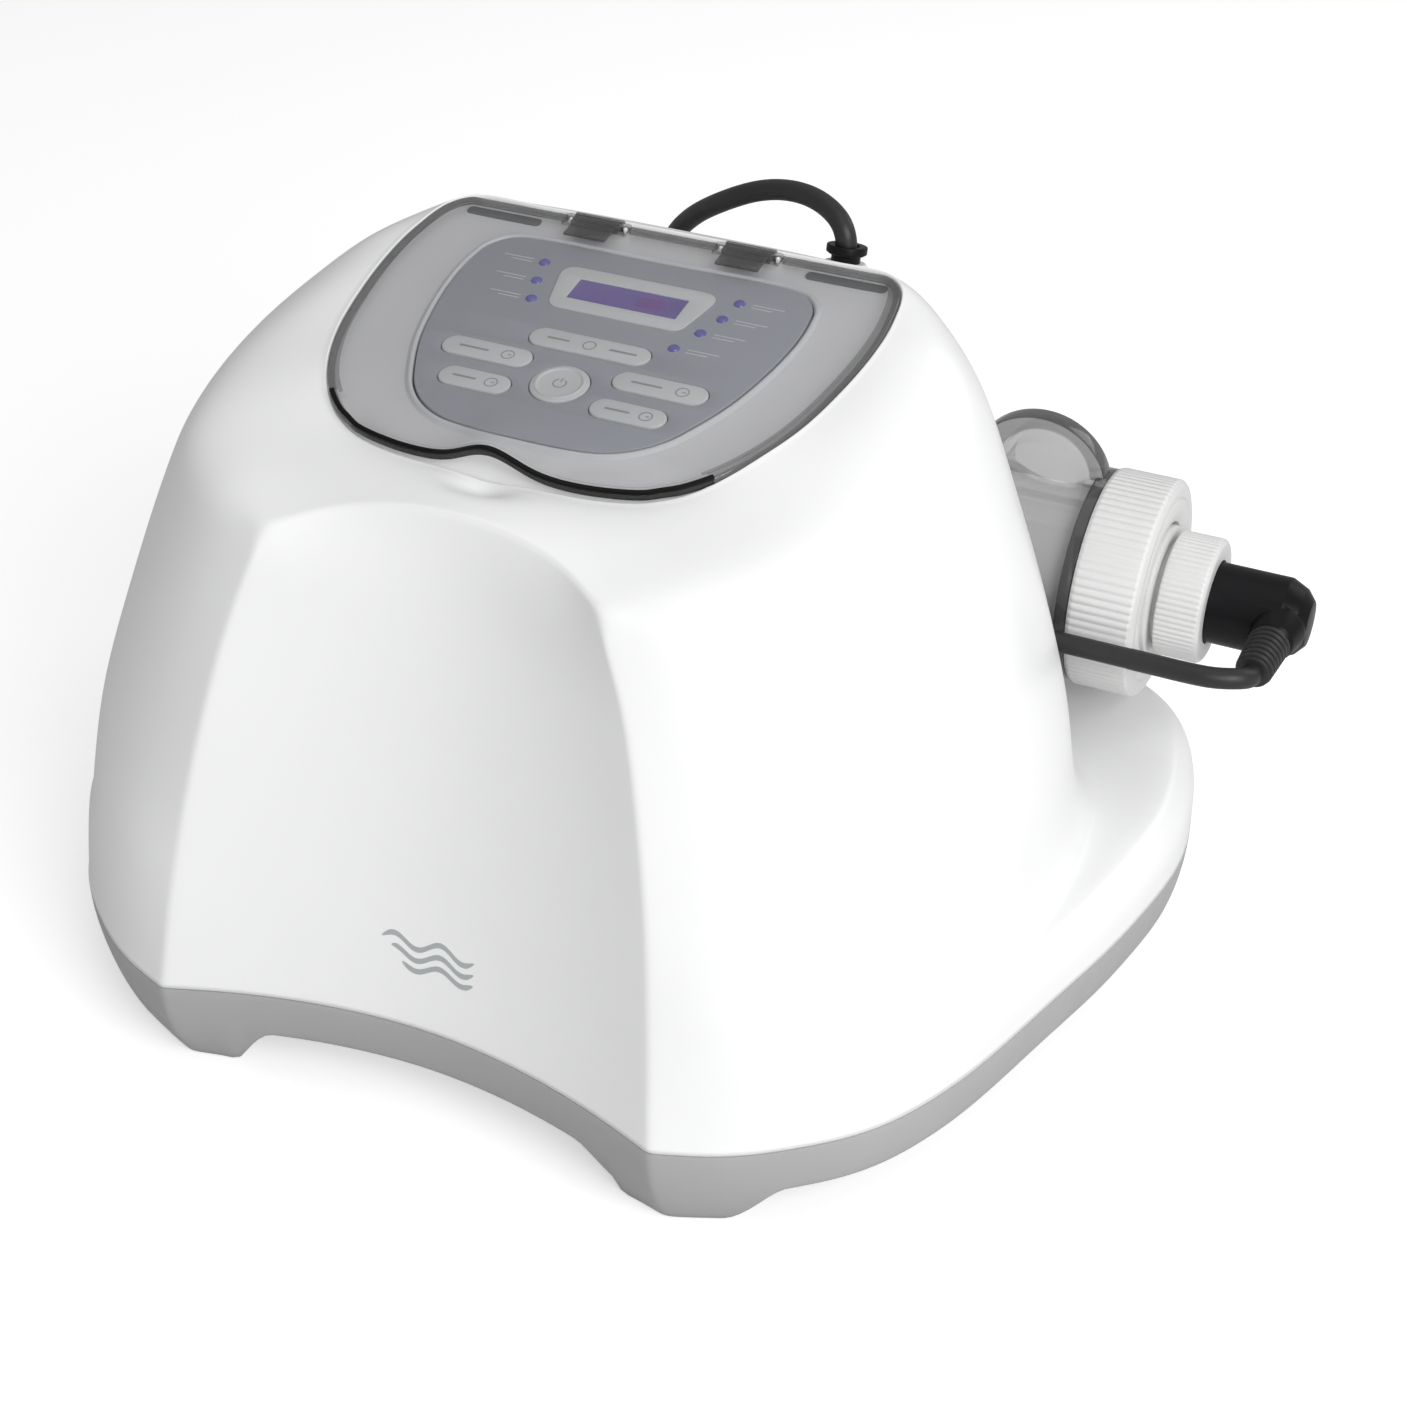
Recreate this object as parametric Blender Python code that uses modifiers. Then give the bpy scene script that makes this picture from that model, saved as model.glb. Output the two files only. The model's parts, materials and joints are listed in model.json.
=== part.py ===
"""Pool saltwater chlorinator: a control station with its electrolytic cell.

Metres, +Z up, the front faces -Y, the ground is z = 0.  The cell lies along X
behind the enclosure.  The model is drawn with x = 0 on the enclosure's plane
of symmetry and moved at the end, so that the origin is the middle of the
footprint of the whole object.
"""
import math

import bmesh
import bpy
import numpy as np
from mathutils import Matrix, Vector

# ---------------------------------------------------------------- main dimensions
SEAM_Z = 0.0424                        # height of the joint between base and shell
SEAM_GAP = 0.0006
SHELL_EDGE_Z = SEAM_Z + SEAM_GAP / 2
BASE_EDGE_Z = SEAM_Z - SEAM_GAP / 2
WALL = 0.0022                          # moulded wall thickness
BASE_BAND_Z = 0.0200                   # underside of the base between its feet
BASE_TAPER = 0.0030
FOOT_DEPTH = 0.0360

PANEL_Y, PANEL_Z = 0.0625, 0.2673      # rear end of the tilted panel plane
PANEL_TILT = math.radians(9.93)
PANEL_COS = math.cos(PANEL_TILT)
PANEL_THICK = 0.0030
TRAY_FLOOR = -0.0010                   # shell floor round the panel, below the panel face
RIM_UP = 0.0024                        # shell rim above the panel plane
LID_TOP = 0.0031
LID_THICK = 0.0020

HINGE_UP = 0.0020                      # hinge axis above the panel plane
HINGE_X = 0.0316                       # middle of each hinge, either side of x = 0
EAR_REACH = 0.0116                     # from the middle of a hinge to its ears
PIN_R = 0.0012
PIN_BORE_R = PIN_R + 0.0003
PIN_BORE_LENGTH = 0.0300

# Screw posts of the shell: x, y, top.  They all start at POST_FOOT_Z.
POSTS = [(0.0915, -0.1445, 0.1310), (-0.0915, -0.1445, 0.1310),
         (0.1850, 0.1200, 0.0700), (-0.1850, 0.1200, 0.0700)]
POST_FOOT_Z = 0.0262
BOARD_X, BOARD_Y = 0.0800, -0.0100     # middle of the main board

CELL_Y, CELL_Z = 0.1225, 0.1278        # axis of the cell, along X
CELL_K = 0.93                          # scale of the cell's profiles across its axis
CELL_R, CELL_BORE = 0.0410, 0.0374
CELL_END = 0.1755
NUT_R = 0.0480

CABLE_X, CABLE_Y, CABLE_Z = 0.1480, 0.0672, 0.1285   # where the cell cable enters the shell
CABLE_R = 0.0041
SENSOR_CABLE_R = 0.0028
CORD_R = 0.0041
GLAND = Vector((0.0611, 0.0822, 0.2556))             # mains cord gland
GLAND_TILT = math.radians(14)                        # its axis leans back from upright

ALONG_X = (0, math.pi / 2, 0)          # turns local +Z to +X
ALONG_Y = (-math.pi / 2, 0, 0)         # turns local +Z to +Y
SIDES = ((-1, "left"), (1, "right"))
THIN_SHELLS = ("base_tray", "upper_shell", "cell_housing")     # use the manifold solver

# ---------------------------------------------------------------- scene and materials
for old in list(bpy.data.objects):
    bpy.data.objects.remove(old, do_unlink=True)

PARTS = bpy.data.collections.new("saltwater_chlorinator")
CUTTERS = bpy.data.collections.new("cutters")
bpy.context.scene.collection.children.link(PARTS)
bpy.context.scene.collection.children.link(CUTTERS)


def material(name, color, rough, metal=0.0, alpha=1.0):
    new = bpy.data.materials.new(name)
    new.use_nodes = True
    shader = new.node_tree.nodes["Principled BSDF"]
    shader.inputs["Base Color"].default_value = (*color, 1.0)
    shader.inputs["Roughness"].default_value = rough
    shader.inputs["Metallic"].default_value = metal
    shader.inputs["Alpha"].default_value = alpha
    new.diffuse_color = (*color, alpha)
    return new


WHITE = material("shell_white", color=(0.86, 0.86, 0.86), rough=0.28)
GREY = material("base_grey", color=(0.40, 0.40, 0.41), rough=0.5)
PANEL = material("panel_grey", color=(0.25, 0.27, 0.30), rough=0.35)
PALE = material("key_pale_grey", color=(0.42, 0.44, 0.45), rough=0.4)
VIOLET = material("display_violet", color=(0.12, 0.09, 0.30), rough=0.15)
SMOKE = material("smoked_clear", color=(0.35, 0.36, 0.37), rough=0.1, alpha=0.45)
BLACK = material("trim_black", color=(0.02, 0.02, 0.02), rough=0.2)
RUBBER = material("cable_rubber", color=(0.03, 0.03, 0.03), rough=0.6)
CLEAR = material("led_clear", color=(0.20, 0.17, 0.45), rough=0.2)
NUT_WHITE = material("nut_white", color=(0.82, 0.82, 0.81), rough=0.35)
TITANIUM = material("titanium", color=(0.42, 0.41, 0.40), rough=0.35, metal=1.0)
CONTACT = material("contact_metal", color=(0.80, 0.70, 0.45), rough=0.25, metal=1.0)
STEEL = material("steel", color=(0.60, 0.60, 0.60), rough=0.3, metal=1.0)
ALUMINIUM = material("aluminium", color=(0.75, 0.75, 0.75), rough=0.35, metal=1.0)
BOARD = material("circuit_board", color=(0.03, 0.16, 0.07), rough=0.5)
COPPER = material("coil_tape", color=(0.62, 0.45, 0.12), rough=0.5)
CORE = material("core_steel", color=(0.12, 0.12, 0.13), rough=0.5, metal=0.8)
SLEEVE = material("capacitor_sleeve", color=(0.05, 0.06, 0.12), rough=0.35)
SEAL = material("seal_rubber", color=(0.02, 0.02, 0.02), rough=0.7)


# ---------------------------------------------------------------- object helpers
def link_helper(obj):
    """Puts an object that only cuts or joins others among the hidden helpers."""
    CUTTERS.objects.link(obj)
    obj.hide_render = True
    obj.display_type = "WIRE"


def link(obj, mat):
    """Links a part with its material; an object without one is a helper."""
    if mat:
        PARTS.objects.link(obj)
        obj.data.materials.clear()
        obj.data.materials.append(mat)
    else:
        link_helper(obj)
    return obj


def empty(name, loc, rot=(0, 0, 0), parent=None, scale=(1, 1, 1)):
    new = bpy.data.objects.new(name, None)
    PARTS.objects.link(new)
    new.scale = scale
    return place(new, loc, rot, parent)


def place(obj, loc=(0, 0, 0), rot=(0, 0, 0), parent=None):
    obj.location, obj.rotation_euler, obj.parent = loc, rot, parent
    return obj


def mesh_object(name, bm, mat=None):
    mesh = bpy.data.meshes.new(name)
    bm.to_mesh(mesh)
    bm.free()
    return link(bpy.data.objects.new(name, mesh), mat)


def box(name, size, mat=None, loc=(0, 0, 0), parent=None):
    bm = bmesh.new()
    bmesh.ops.create_cube(bm, size=1.0)
    bmesh.ops.scale(bm, vec=size, verts=bm.verts)
    return place(mesh_object(name, bm, mat), loc, parent=parent)


def cylinder(name, radius, height, mat=None, loc=(0, 0, 0), rot=(0, 0, 0), parent=None,
             segments=24, top_radius=None):
    bm = bmesh.new()
    bmesh.ops.create_cone(bm, cap_ends=True, segments=segments, radius1=radius,
                          radius2=radius if top_radius is None else top_radius, depth=height)
    return place(mesh_object(name, bm, mat), loc, rot, parent)


def turned(name, profile, mat=None, loc=(0, 0, 0), rot=(0, 0, 0), parent=None, segments=24):
    """A lathe part from a profile of (radius, height).  A profile that starts
    and ends on the axis is solid; any other is closed into a ring."""
    solid = profile[0][0] == 0 and profile[-1][0] == 0
    count = len(profile)
    edges = [(i, i + 1) for i in range(count - 1)] + ([] if solid else [(count - 1, 0)])
    mesh = bpy.data.meshes.new(name)
    mesh.from_pydata([(radius, 0, z) for radius, z in profile], edges, [])
    obj = place(link(bpy.data.objects.new(name, mesh), mat), loc, rot, parent)
    screw = obj.modifiers.new("turn", "SCREW")
    screw.steps = screw.render_steps = segments
    screw.axis = "Z"
    screw.use_merge_vertices = True
    screw.merge_threshold = 0.00005
    screw.use_smooth_shade = False
    return obj


def baked(obj):
    """The evaluated shape of a part, as a plain mesh object in its place."""
    bpy.context.view_layer.update()
    graph = bpy.context.evaluated_depsgraph_get()
    mesh = bpy.data.meshes.new_from_object(obj.evaluated_get(graph))
    bm = bmesh.new()
    bm.from_mesh(mesh)
    bmesh.ops.remove_doubles(bm, verts=bm.verts, dist=0.000002)
    bm.to_mesh(mesh)
    bm.free()
    name, parent, mat = obj.name, obj.parent, obj.data.materials[0]
    matrix = obj.matrix_world.copy()
    bpy.data.objects.remove(obj, do_unlink=True)
    new = link(bpy.data.objects.new(name, mesh), mat)
    new.parent = parent
    if parent:
        new.matrix_local = parent.matrix_world.inverted() @ matrix
    else:
        new.matrix_world = matrix
    return new


def flat(name, outlines, z_low, z_high, mat, parent=None):
    """A plate: the first outline with the others as holes, from z_low to z_high."""
    curve = bpy.data.curves.new(name, "CURVE")
    curve.dimensions, curve.fill_mode = "2D", "BOTH"
    curve.extrude = (z_high - z_low) / 2
    for outline in outlines:
        line = curve.splines.new("POLY")
        line.points.add(len(outline) - 1)
        for point, (x, y) in zip(line.points, outline):
            point.co = (x, y, 0, 1)
        line.use_cyclic_u = True
    obj = link(bpy.data.objects.new(name, curve), mat)
    plate = baked(place(obj, (0, 0, (z_low + z_high) / 2)))
    plate.parent = parent
    return plate


def tube(name, points, radius, mat=RUBBER):
    """A round cable with flat ends along a smooth path through the points."""
    path = smooth_path(points, 2)
    curve = bpy.data.curves.new(name, "CURVE")
    curve.dimensions, curve.bevel_depth, curve.bevel_resolution = "3D", radius, 1
    curve.use_fill_caps = True
    line = curve.splines.new("POLY")
    line.points.add(len(path) - 1)
    for point, place_on_path in zip(line.points, path):
        point.co = (*place_on_path, 1)
    return link(bpy.data.objects.new(name, curve), mat)


def skin(rings, cap_first, cap_last):
    """Closed rings of equal length joined in order by faces."""
    bm = bmesh.new()
    rows = [[bm.verts.new(tuple(point)) for point in ring] for ring in rings]
    count = len(rows[0])
    for low, high in zip(rows, rows[1:]):
        for i in range(count):
            j = (i + 1) % count
            bm.faces.new((low[i], low[j], high[j], high[i]))
    if cap_first:
        bm.faces.new(rows[0][::-1])
    if cap_last:
        bm.faces.new(rows[-1])
    return bm


def walled_loft(name, rings, mat, thickness, cap_first=False, cap_last=False, parent=None):
    """A wall behind a skin; the rings run anticlockwise seen from above."""
    obj = mesh_object(name, skin(rings, cap_first, cap_last), mat)
    obj.parent = parent
    wall = obj.modifiers.new("wall", "SOLIDIFY")
    wall.thickness, wall.offset = thickness, -1.0
    return baked(obj)


def solid_loft(name, rings, mat=None):
    bm = skin(rings, cap_first=True, cap_last=True)
    bmesh.ops.recalc_face_normals(bm, faces=bm.faces)
    return mesh_object(name, bm, mat)


def boolean(obj, other, operation):
    modifier = obj.modifiers.new(operation.lower(), "BOOLEAN")
    modifier.operation, modifier.object = operation, other
    if obj.name in THIN_SHELLS:
        modifier.solver = "MANIFOLD"


def cut(obj, other):
    boolean(obj, other, "DIFFERENCE")


def join(obj, other):
    boolean(obj, other, "UNION")


def level_edge(obj, z):
    """Brings an edge's points, near height z, to that height."""
    for vertex in obj.data.vertices:
        if abs(vertex.co.z - z) < 0.0009:
            vertex.co.z = z


# ---------------------------------------------------------------- curves and outlines
def spline(points, params):
    """Centripetal Catmull-Rom curve through points at the given point indices."""
    points = np.asarray(points, float)
    curve = []
    for param in params:
        i = min(int(math.floor(param)), len(points) - 2)
        start, end = points[i], points[i + 1]
        before = points[i - 1] if i > 0 else 2 * start - end
        after = points[i + 2] if i + 2 < len(points) else 2 * end - start
        knots = [0.0]
        for near, far in ((before, start), (start, end), (end, after)):
            knots.append(knots[-1] + max(np.linalg.norm(far - near), 1e-6) ** 0.5)
        at = knots[1] + (param - i) * (knots[2] - knots[1])

        def blend(near, far, low, high):
            span = knots[high] - knots[low]
            return (knots[high] - at) / span * near + (at - knots[low]) / span * far

        middle = blend(start, end, 1, 2)
        first = blend(blend(before, start, 0, 1), middle, 0, 2)
        second = blend(middle, blend(end, after, 2, 3), 1, 3)
        curve.append(blend(first, second, 1, 2))
    return np.array(curve)


def smooth_path(points, steps):
    """A smooth path through points, with so many steps from each to the next."""
    spans = len(points) - 1
    return spline(points, np.linspace(0, spans, spans * steps + 1))


def full_ring(half):
    """Right half from the front centre to the back centre, closed on the left."""
    half = np.array(half)
    half[0][0] = half[-1][0] = 0.0
    return [tuple(point) for point in half] + [(-x, y, z) for x, y, z in half[-2:0:-1]]


def closed_xy(half):
    return list(half) + [(-x, y) for x, y in half[-2:0:-1]]


def inset(half, distance):
    """(x, y) of a right half outline moved inwards, or outwards if negative."""
    line = [(point[0], point[1]) for point in half]
    line = [(-line[1][0], line[1][1])] + line + [(-line[-2][0], line[-2][1])]
    moved = []
    for before, (x, y), after in zip(line, line[1:], line[2:]):
        along_x, along_y = after[0] - before[0], after[1] - before[1]
        length = math.hypot(along_x, along_y)
        moved.append((x - along_y / length * distance, y + along_x / length * distance))
    moved[0] = (0.0, moved[0][1])
    moved[-1] = (0.0, moved[-1][1])
    return moved


def pill(middle_x, middle_y, half_length, radius, steps=5):
    points = []
    for side, start in ((1, -math.pi / 2), (-1, math.pi / 2)):
        for i in range(steps + 1):
            angle = start + math.pi * i / steps
            points.append((middle_x + side * (half_length - radius) + radius * math.cos(angle),
                           middle_y + radius * math.sin(angle)))
    return points


def circle(middle_x, middle_y, radius, count):
    angles = [2 * math.pi * i / count for i in range(count)]
    return [(middle_x + radius * math.cos(angle), middle_y + radius * math.sin(angle))
            for angle in angles]


def rect(middle_x, middle_y, width, depth):
    return [(middle_x + side_x * width / 2, middle_y + side_y * depth / 2)
            for side_x, side_y in ((-1, -1), (1, -1), (1, 1), (-1, 1))]


# ---------------------------------------------------------------- enclosure net
# Front corner of the shell: z, x, y.
FRONT_CORNER = np.array([
    (0.0424, 0.1000, -0.1706), (0.0800, 0.0967, -0.1629), (0.1200, 0.0917, -0.1535),
    (0.1600, 0.0848, -0.1441), (0.2000, 0.0736, -0.1342), (0.2234, 0.0640, -0.1306)])
FRONT_MIDDLE_Y = -0.1492       # middle of the hollow front at the joint
FRONT_SLOPE = 0.2              # how fast that middle leans back with height
FRONT_POWER = 1.9              # shape of the hollow across the front


def front(z):
    """Stations 0 to 3, the hollow front face, at height z."""
    corner_x = float(np.interp(z, FRONT_CORNER[:, 0], FRONT_CORNER[:, 1]))
    corner_y = float(np.interp(z, FRONT_CORNER[:, 0], FRONT_CORNER[:, 2]))
    middle_y = FRONT_MIDDLE_Y + FRONT_SLOPE * (z - SEAM_Z)
    return [(corner_x * part, middle_y + (corner_y - middle_y) * part ** FRONT_POWER, z)
            for part in (0.0, 0.36, 0.72, 1.0)]


# The design net of the moulded shell, right half: one row for each height
# level, one column (x, y, z) for each station from the front centre (0) round
# the front corner (3) and the side to the back centre (14).
NET = [
    # 0 joint line
    front(0.0424) + [
        (0.1233, -0.1617, 0.0424), (0.1450, -0.1467, 0.0424), (0.1658, -0.1267, 0.0424),
        (0.1833, -0.0942, 0.0424), (0.2008, -0.0358, 0.0424), (0.2142, 0.0158, 0.0424),
        (0.2200, 0.0742, 0.0424), (0.2000, 0.1350, 0.0424), (0.1650, 0.1550, 0.0424),
        (0.1050, 0.1630, 0.0424), (0.0, 0.1650, 0.0424)],
    # 1 top of the vertical edge
    front(0.0560) + [
        (0.1223, -0.1603, 0.0560), (0.1457, -0.1448, 0.0560), (0.1658, -0.1240, 0.0570),
        (0.1843, -0.0910, 0.0600), (0.2002, -0.0358, 0.0585), (0.2135, 0.0158, 0.0585),
        (0.2193, 0.0738, 0.0590), (0.1995, 0.1343, 0.0595), (0.1647, 0.1543, 0.0595),
        (0.1050, 0.1623, 0.0595), (0.0, 0.1643, 0.0595)],
    # 2 top of the side skirt, outer
    front(0.0680) + [
        (0.1213, -0.1588, 0.0680), (0.1467, -0.1423, 0.0700), (0.1665, -0.1190, 0.0740),
        (0.1832, -0.0845, 0.0725), (0.1960, -0.0368, 0.0683), (0.2075, 0.0140, 0.0685),
        (0.2125, 0.0715, 0.0700), (0.1940, 0.1290, 0.0708), (0.1605, 0.1485, 0.0710),
        (0.1020, 0.1560, 0.0710), (0.0, 0.1580, 0.0710)],
    # 3 top of the side skirt, inner
    front(0.0790) + [
        (0.1203, -0.1572, 0.0790), (0.1468, -0.1400, 0.0820), (0.1662, -0.1135, 0.0850),
        (0.1810, -0.0800, 0.0775), (0.1905, -0.0385, 0.0712), (0.1927, 0.0060, 0.0712),
        (0.1860, 0.0500, 0.0722), (0.1605, 0.0790, 0.0730), (0.1300, 0.0855, 0.0730),
        (0.0920, 0.0865, 0.0730), (0.0, 0.0865, 0.0730)],
    # 4 foot of the dome wall
    front(0.0950) + [
        (0.1187, -0.1548, 0.0950), (0.1453, -0.1372, 0.0960), (0.1640, -0.1128, 0.0975),
        (0.1776, -0.0845, 0.0930), (0.1868, -0.0395, 0.0860), (0.1877, 0.0050, 0.0860),
        (0.1792, 0.0450, 0.0865), (0.1555, 0.0715, 0.0870), (0.1255, 0.0780, 0.0870),
        (0.0900, 0.0785, 0.0870), (0.0, 0.0785, 0.0870)],
    # 5 to 8 dome wall
    front(0.1200) + [
        (0.1150, -0.1470, 0.1200), (0.1410, -0.1310, 0.1200), (0.1600, -0.1100, 0.1200),
        (0.1730, -0.0830, 0.1200), (0.1822, -0.0400, 0.1200), (0.1830, 0.0050, 0.1200),
        (0.1735, 0.0450, 0.1200), (0.1500, 0.0690, 0.1200), (0.1220, 0.0765, 0.1200),
        (0.0900, 0.0785, 0.1200), (0.0, 0.0785, 0.1200)],
    front(0.1700) + [
        (0.1050, -0.1345, 0.1700), (0.1300, -0.1190, 0.1700), (0.1450, -0.1010, 0.1700),
        (0.1575, -0.0760, 0.1700), (0.1680, -0.0380, 0.1700), (0.1695, 0.0030, 0.1700),
        (0.1590, 0.0450, 0.1700), (0.1390, 0.0675, 0.1700), (0.1150, 0.0760, 0.1700),
        (0.0850, 0.0785, 0.1700), (0.0, 0.0785, 0.1700)],
    front(0.2000) + [
        (0.0945, -0.1290, 0.2000), (0.1180, -0.1150, 0.2000), (0.1350, -0.0955, 0.2000),
        (0.1470, -0.0710, 0.2000), (0.1565, -0.0355, 0.2000), (0.1590, 0.0030, 0.2000),
        (0.1500, 0.0410, 0.2000), (0.1305, 0.0670, 0.2000), (0.1100, 0.0770, 0.2000),
        (0.0820, 0.0825, 0.2000), (0.0, 0.0835, 0.2000)],
    front(0.2170) + [
        (0.0880, -0.1260, 0.2190), (0.1090, -0.1130, 0.2200), (0.1270, -0.0930, 0.2210),
        (0.1375, -0.0680, 0.2210), (0.1465, -0.0340, 0.2210), (0.1500, 0.0020, 0.2210),
        (0.1430, 0.0390, 0.2210), (0.1250, 0.0660, 0.2210), (0.1060, 0.0780, 0.2210),
        (0.0790, 0.0855, 0.2210), (0.0, 0.0870, 0.2210)],
    # 9 shoulder, and the arched top edge of the hollow front
    [(0.0, -0.1100, 0.2385), (0.0225, -0.1112, 0.2372), (0.0450, -0.1165, 0.2330),
     (0.0640, -0.1290, 0.2268), (0.0830, -0.1215, 0.2312), (0.1000, -0.1095, 0.2328),
     (0.1190, -0.0925, 0.2348), (0.1295, -0.0675, 0.2365), (0.1370, -0.0340, 0.2385),
     (0.1395, 0.0030, 0.2405), (0.1350, 0.0380, 0.2405), (0.1190, 0.0640, 0.2420),
     (0.1010, 0.0765, 0.2415), (0.0760, 0.0850, 0.2405), (0.0, 0.0875, 0.2405)],
    # 10 and 11 from the shoulder in to the rim
    [(0.0, -0.1020, 0.2394), (0.0215, -0.1025, 0.2388), (0.0430, -0.1050, 0.2370),
     (0.0605, -0.1080, 0.2352), (0.0770, -0.1010, 0.2362), (0.0915, -0.0905, 0.2382),
     (0.1050, -0.0745, 0.2418), (0.1135, -0.0530, 0.2455), (0.1195, -0.0240, 0.2510),
     (0.1218, 0.0080, 0.2545), (0.1195, 0.0365, 0.2585), (0.1080, 0.0620, 0.2575),
     (0.0950, 0.0735, 0.2575), (0.0725, 0.0795, 0.2590), (0.0, 0.0820, 0.2595)],
    [(0.0, -0.0930, 0.2398), (0.0205, -0.0930, 0.2396), (0.0412, -0.0930, 0.2392),
     (0.0580, -0.0910, 0.2392), (0.0720, -0.0835, 0.2402), (0.0830, -0.0735, 0.2428),
     (0.0925, -0.0585, 0.2470), (0.1005, -0.0390, 0.2510), (0.1065, -0.0110, 0.2568),
     (0.1085, 0.0150, 0.2608), (0.1075, 0.0362, 0.2643), (0.1005, 0.0590, 0.2663),
     (0.0895, 0.0692, 0.2665), (0.0640, 0.0722, 0.2678), (0.0, 0.0735, 0.2682)],
]
# Level 12, the rim: x, y at each station.
RIM_XY = [
    (0.0, -0.0862), (0.0200, -0.0860), (0.0400, -0.0848), (0.0560, -0.0812), (0.0680, -0.0740),
    (0.0778, -0.0640), (0.0858, -0.0508), (0.0928, -0.0322), (0.0980, -0.0050), (0.1000, 0.0180),
    (0.0994, 0.0360), (0.0950, 0.0560), (0.0865, 0.0640), (0.0600, 0.0648), (0.0, 0.0648)]
CORNER = 3                     # station of the front corner

# Stations and levels that the meshes are drawn at.
STATIONS = [0, 1, 2, 3, 3.5, 4, 5, 6, 7, 8, 9, 10, 11, 12, 13, 14]
BASE_STATIONS = [0, 1, 2, 3, 3.5, 4, 5, 6, 7, 8, 9, 10, 10.6, 11, 12, 13, 14]
LEVELS = [0, 1, 1.5, 2, 3, 4, 5, 6, 7, 8, 9, 10, 11, 12]


def panel_z(y, up):
    """World height of a point that is `up` above the panel plane, at depth y."""
    return PANEL_Z + (y - PANEL_Y) * math.tan(PANEL_TILT) + up / PANEL_COS


def front_fade(y, start, length):
    """Rises smoothly from 0 at y = -start to 1 at `length` further forward."""
    part = min(max((-y - start) / length, 0.0), 1.0)
    return part * part * (3 - 2 * part)


def rim_up(y):
    """The rim sinks below the panel plane towards the front edge."""
    return RIM_UP - 0.0046 * front_fade(y, 0.050, 0.034)


def floor_up(y):
    """The tray floor, which drops away below the lid's front edge."""
    return TRAY_FLOOR - 0.0034 * front_fade(y, 0.066, 0.012)


NET.append([(x, y, panel_z(y, rim_up(y))) for x, y in RIM_XY])
NET = np.array(NET)


def shell_row(net_row, stations):
    """A level's curve at these stations; the front corner is a knuckle."""
    mirror = (-1, 1, 1)
    front_line = np.vstack([[net_row[1] * mirror], net_row[:CORNER + 1]])
    side_line = np.vstack([net_row[CORNER:], [net_row[-2] * mirror]])
    return np.array([
        spline(front_line, [station + 1])[0] if station <= CORNER
        else spline(side_line, [station - CORNER])[0]
        for station in stations])


def shell_half(stations, levels):
    rows = np.array([shell_row(row, stations) for row in NET])
    columns = [spline(rows[:, j], levels) for j in range(rows.shape[1])]
    return np.array(columns).transpose(1, 0, 2)


shell_rows = shell_half(STATIONS, LEVELS)
shell_rows[0][:, 2] = SHELL_EDGE_Z
rim = shell_rows[-1]

# Right half of the control panel's outline: x, depth y.
PANEL_EDGE = [
    (0.0, -0.0650), (0.0200, -0.0645), (0.0320, -0.0625), (0.0415, -0.0575), (0.0495, -0.0495),
    (0.0555, -0.0385), (0.0615, -0.0240), (0.0655, -0.0085), (0.0680, 0.0060), (0.0690, 0.0180),
    (0.0687, 0.0280), (0.0668, 0.0380), (0.0615, 0.0445), (0.0540, 0.0470), (0.0, 0.0472)]
BEARING_Y = -0.006             # middle of the panel, from which bearings are taken
rim_bearings = [math.atan2(x, -(y - BEARING_Y)) for x, y, z in rim]


def at_bearing(half, bearing):
    """Point of an outline in a direction (0 front, pi back) from the panel's middle."""
    ray_x, ray_y = math.sin(bearing), -math.cos(bearing)
    for (x0, y0), (x1, y1) in zip(half, half[1:]):
        edge_x, edge_y = x1 - x0, y1 - y0
        cross = ray_y * edge_x - ray_x * edge_y
        if abs(cross) < 1e-12:
            continue
        reach = ((y0 - BEARING_Y) * edge_x - x0 * edge_y) / cross
        part = (ray_x * (y0 - BEARING_Y) - ray_y * x0) / cross
        if reach > 0 and -1e-9 <= part <= 1 + 1e-9:
            return (ray_x * reach, BEARING_Y + ray_y * reach)
    # A ray along the symmetry plane can pass just beside the outline's end.
    return half[0] if bearing < 1 else half[-1]


# ---------------------------------------------------------------- upper shell
def shell_skin_rings():
    """The net's levels, then down inside the rim and in to the panel opening."""
    opening = inset(PANEL_EDGE, -0.0005)
    wall_foot = [(x, y, panel_z(y, floor_up(y))) for x, y, z in rim]
    floor_edge = []
    for bearing in rim_bearings:
        x, y = at_bearing(opening, bearing)
        floor_edge.append((x, y, panel_z(y, TRAY_FLOOR)))
    floor_middle = (np.array(wall_foot) + np.array(floor_edge)) / 2
    return [full_ring(half) for half in (*shell_rows, wall_foot, floor_middle, floor_edge)]


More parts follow.
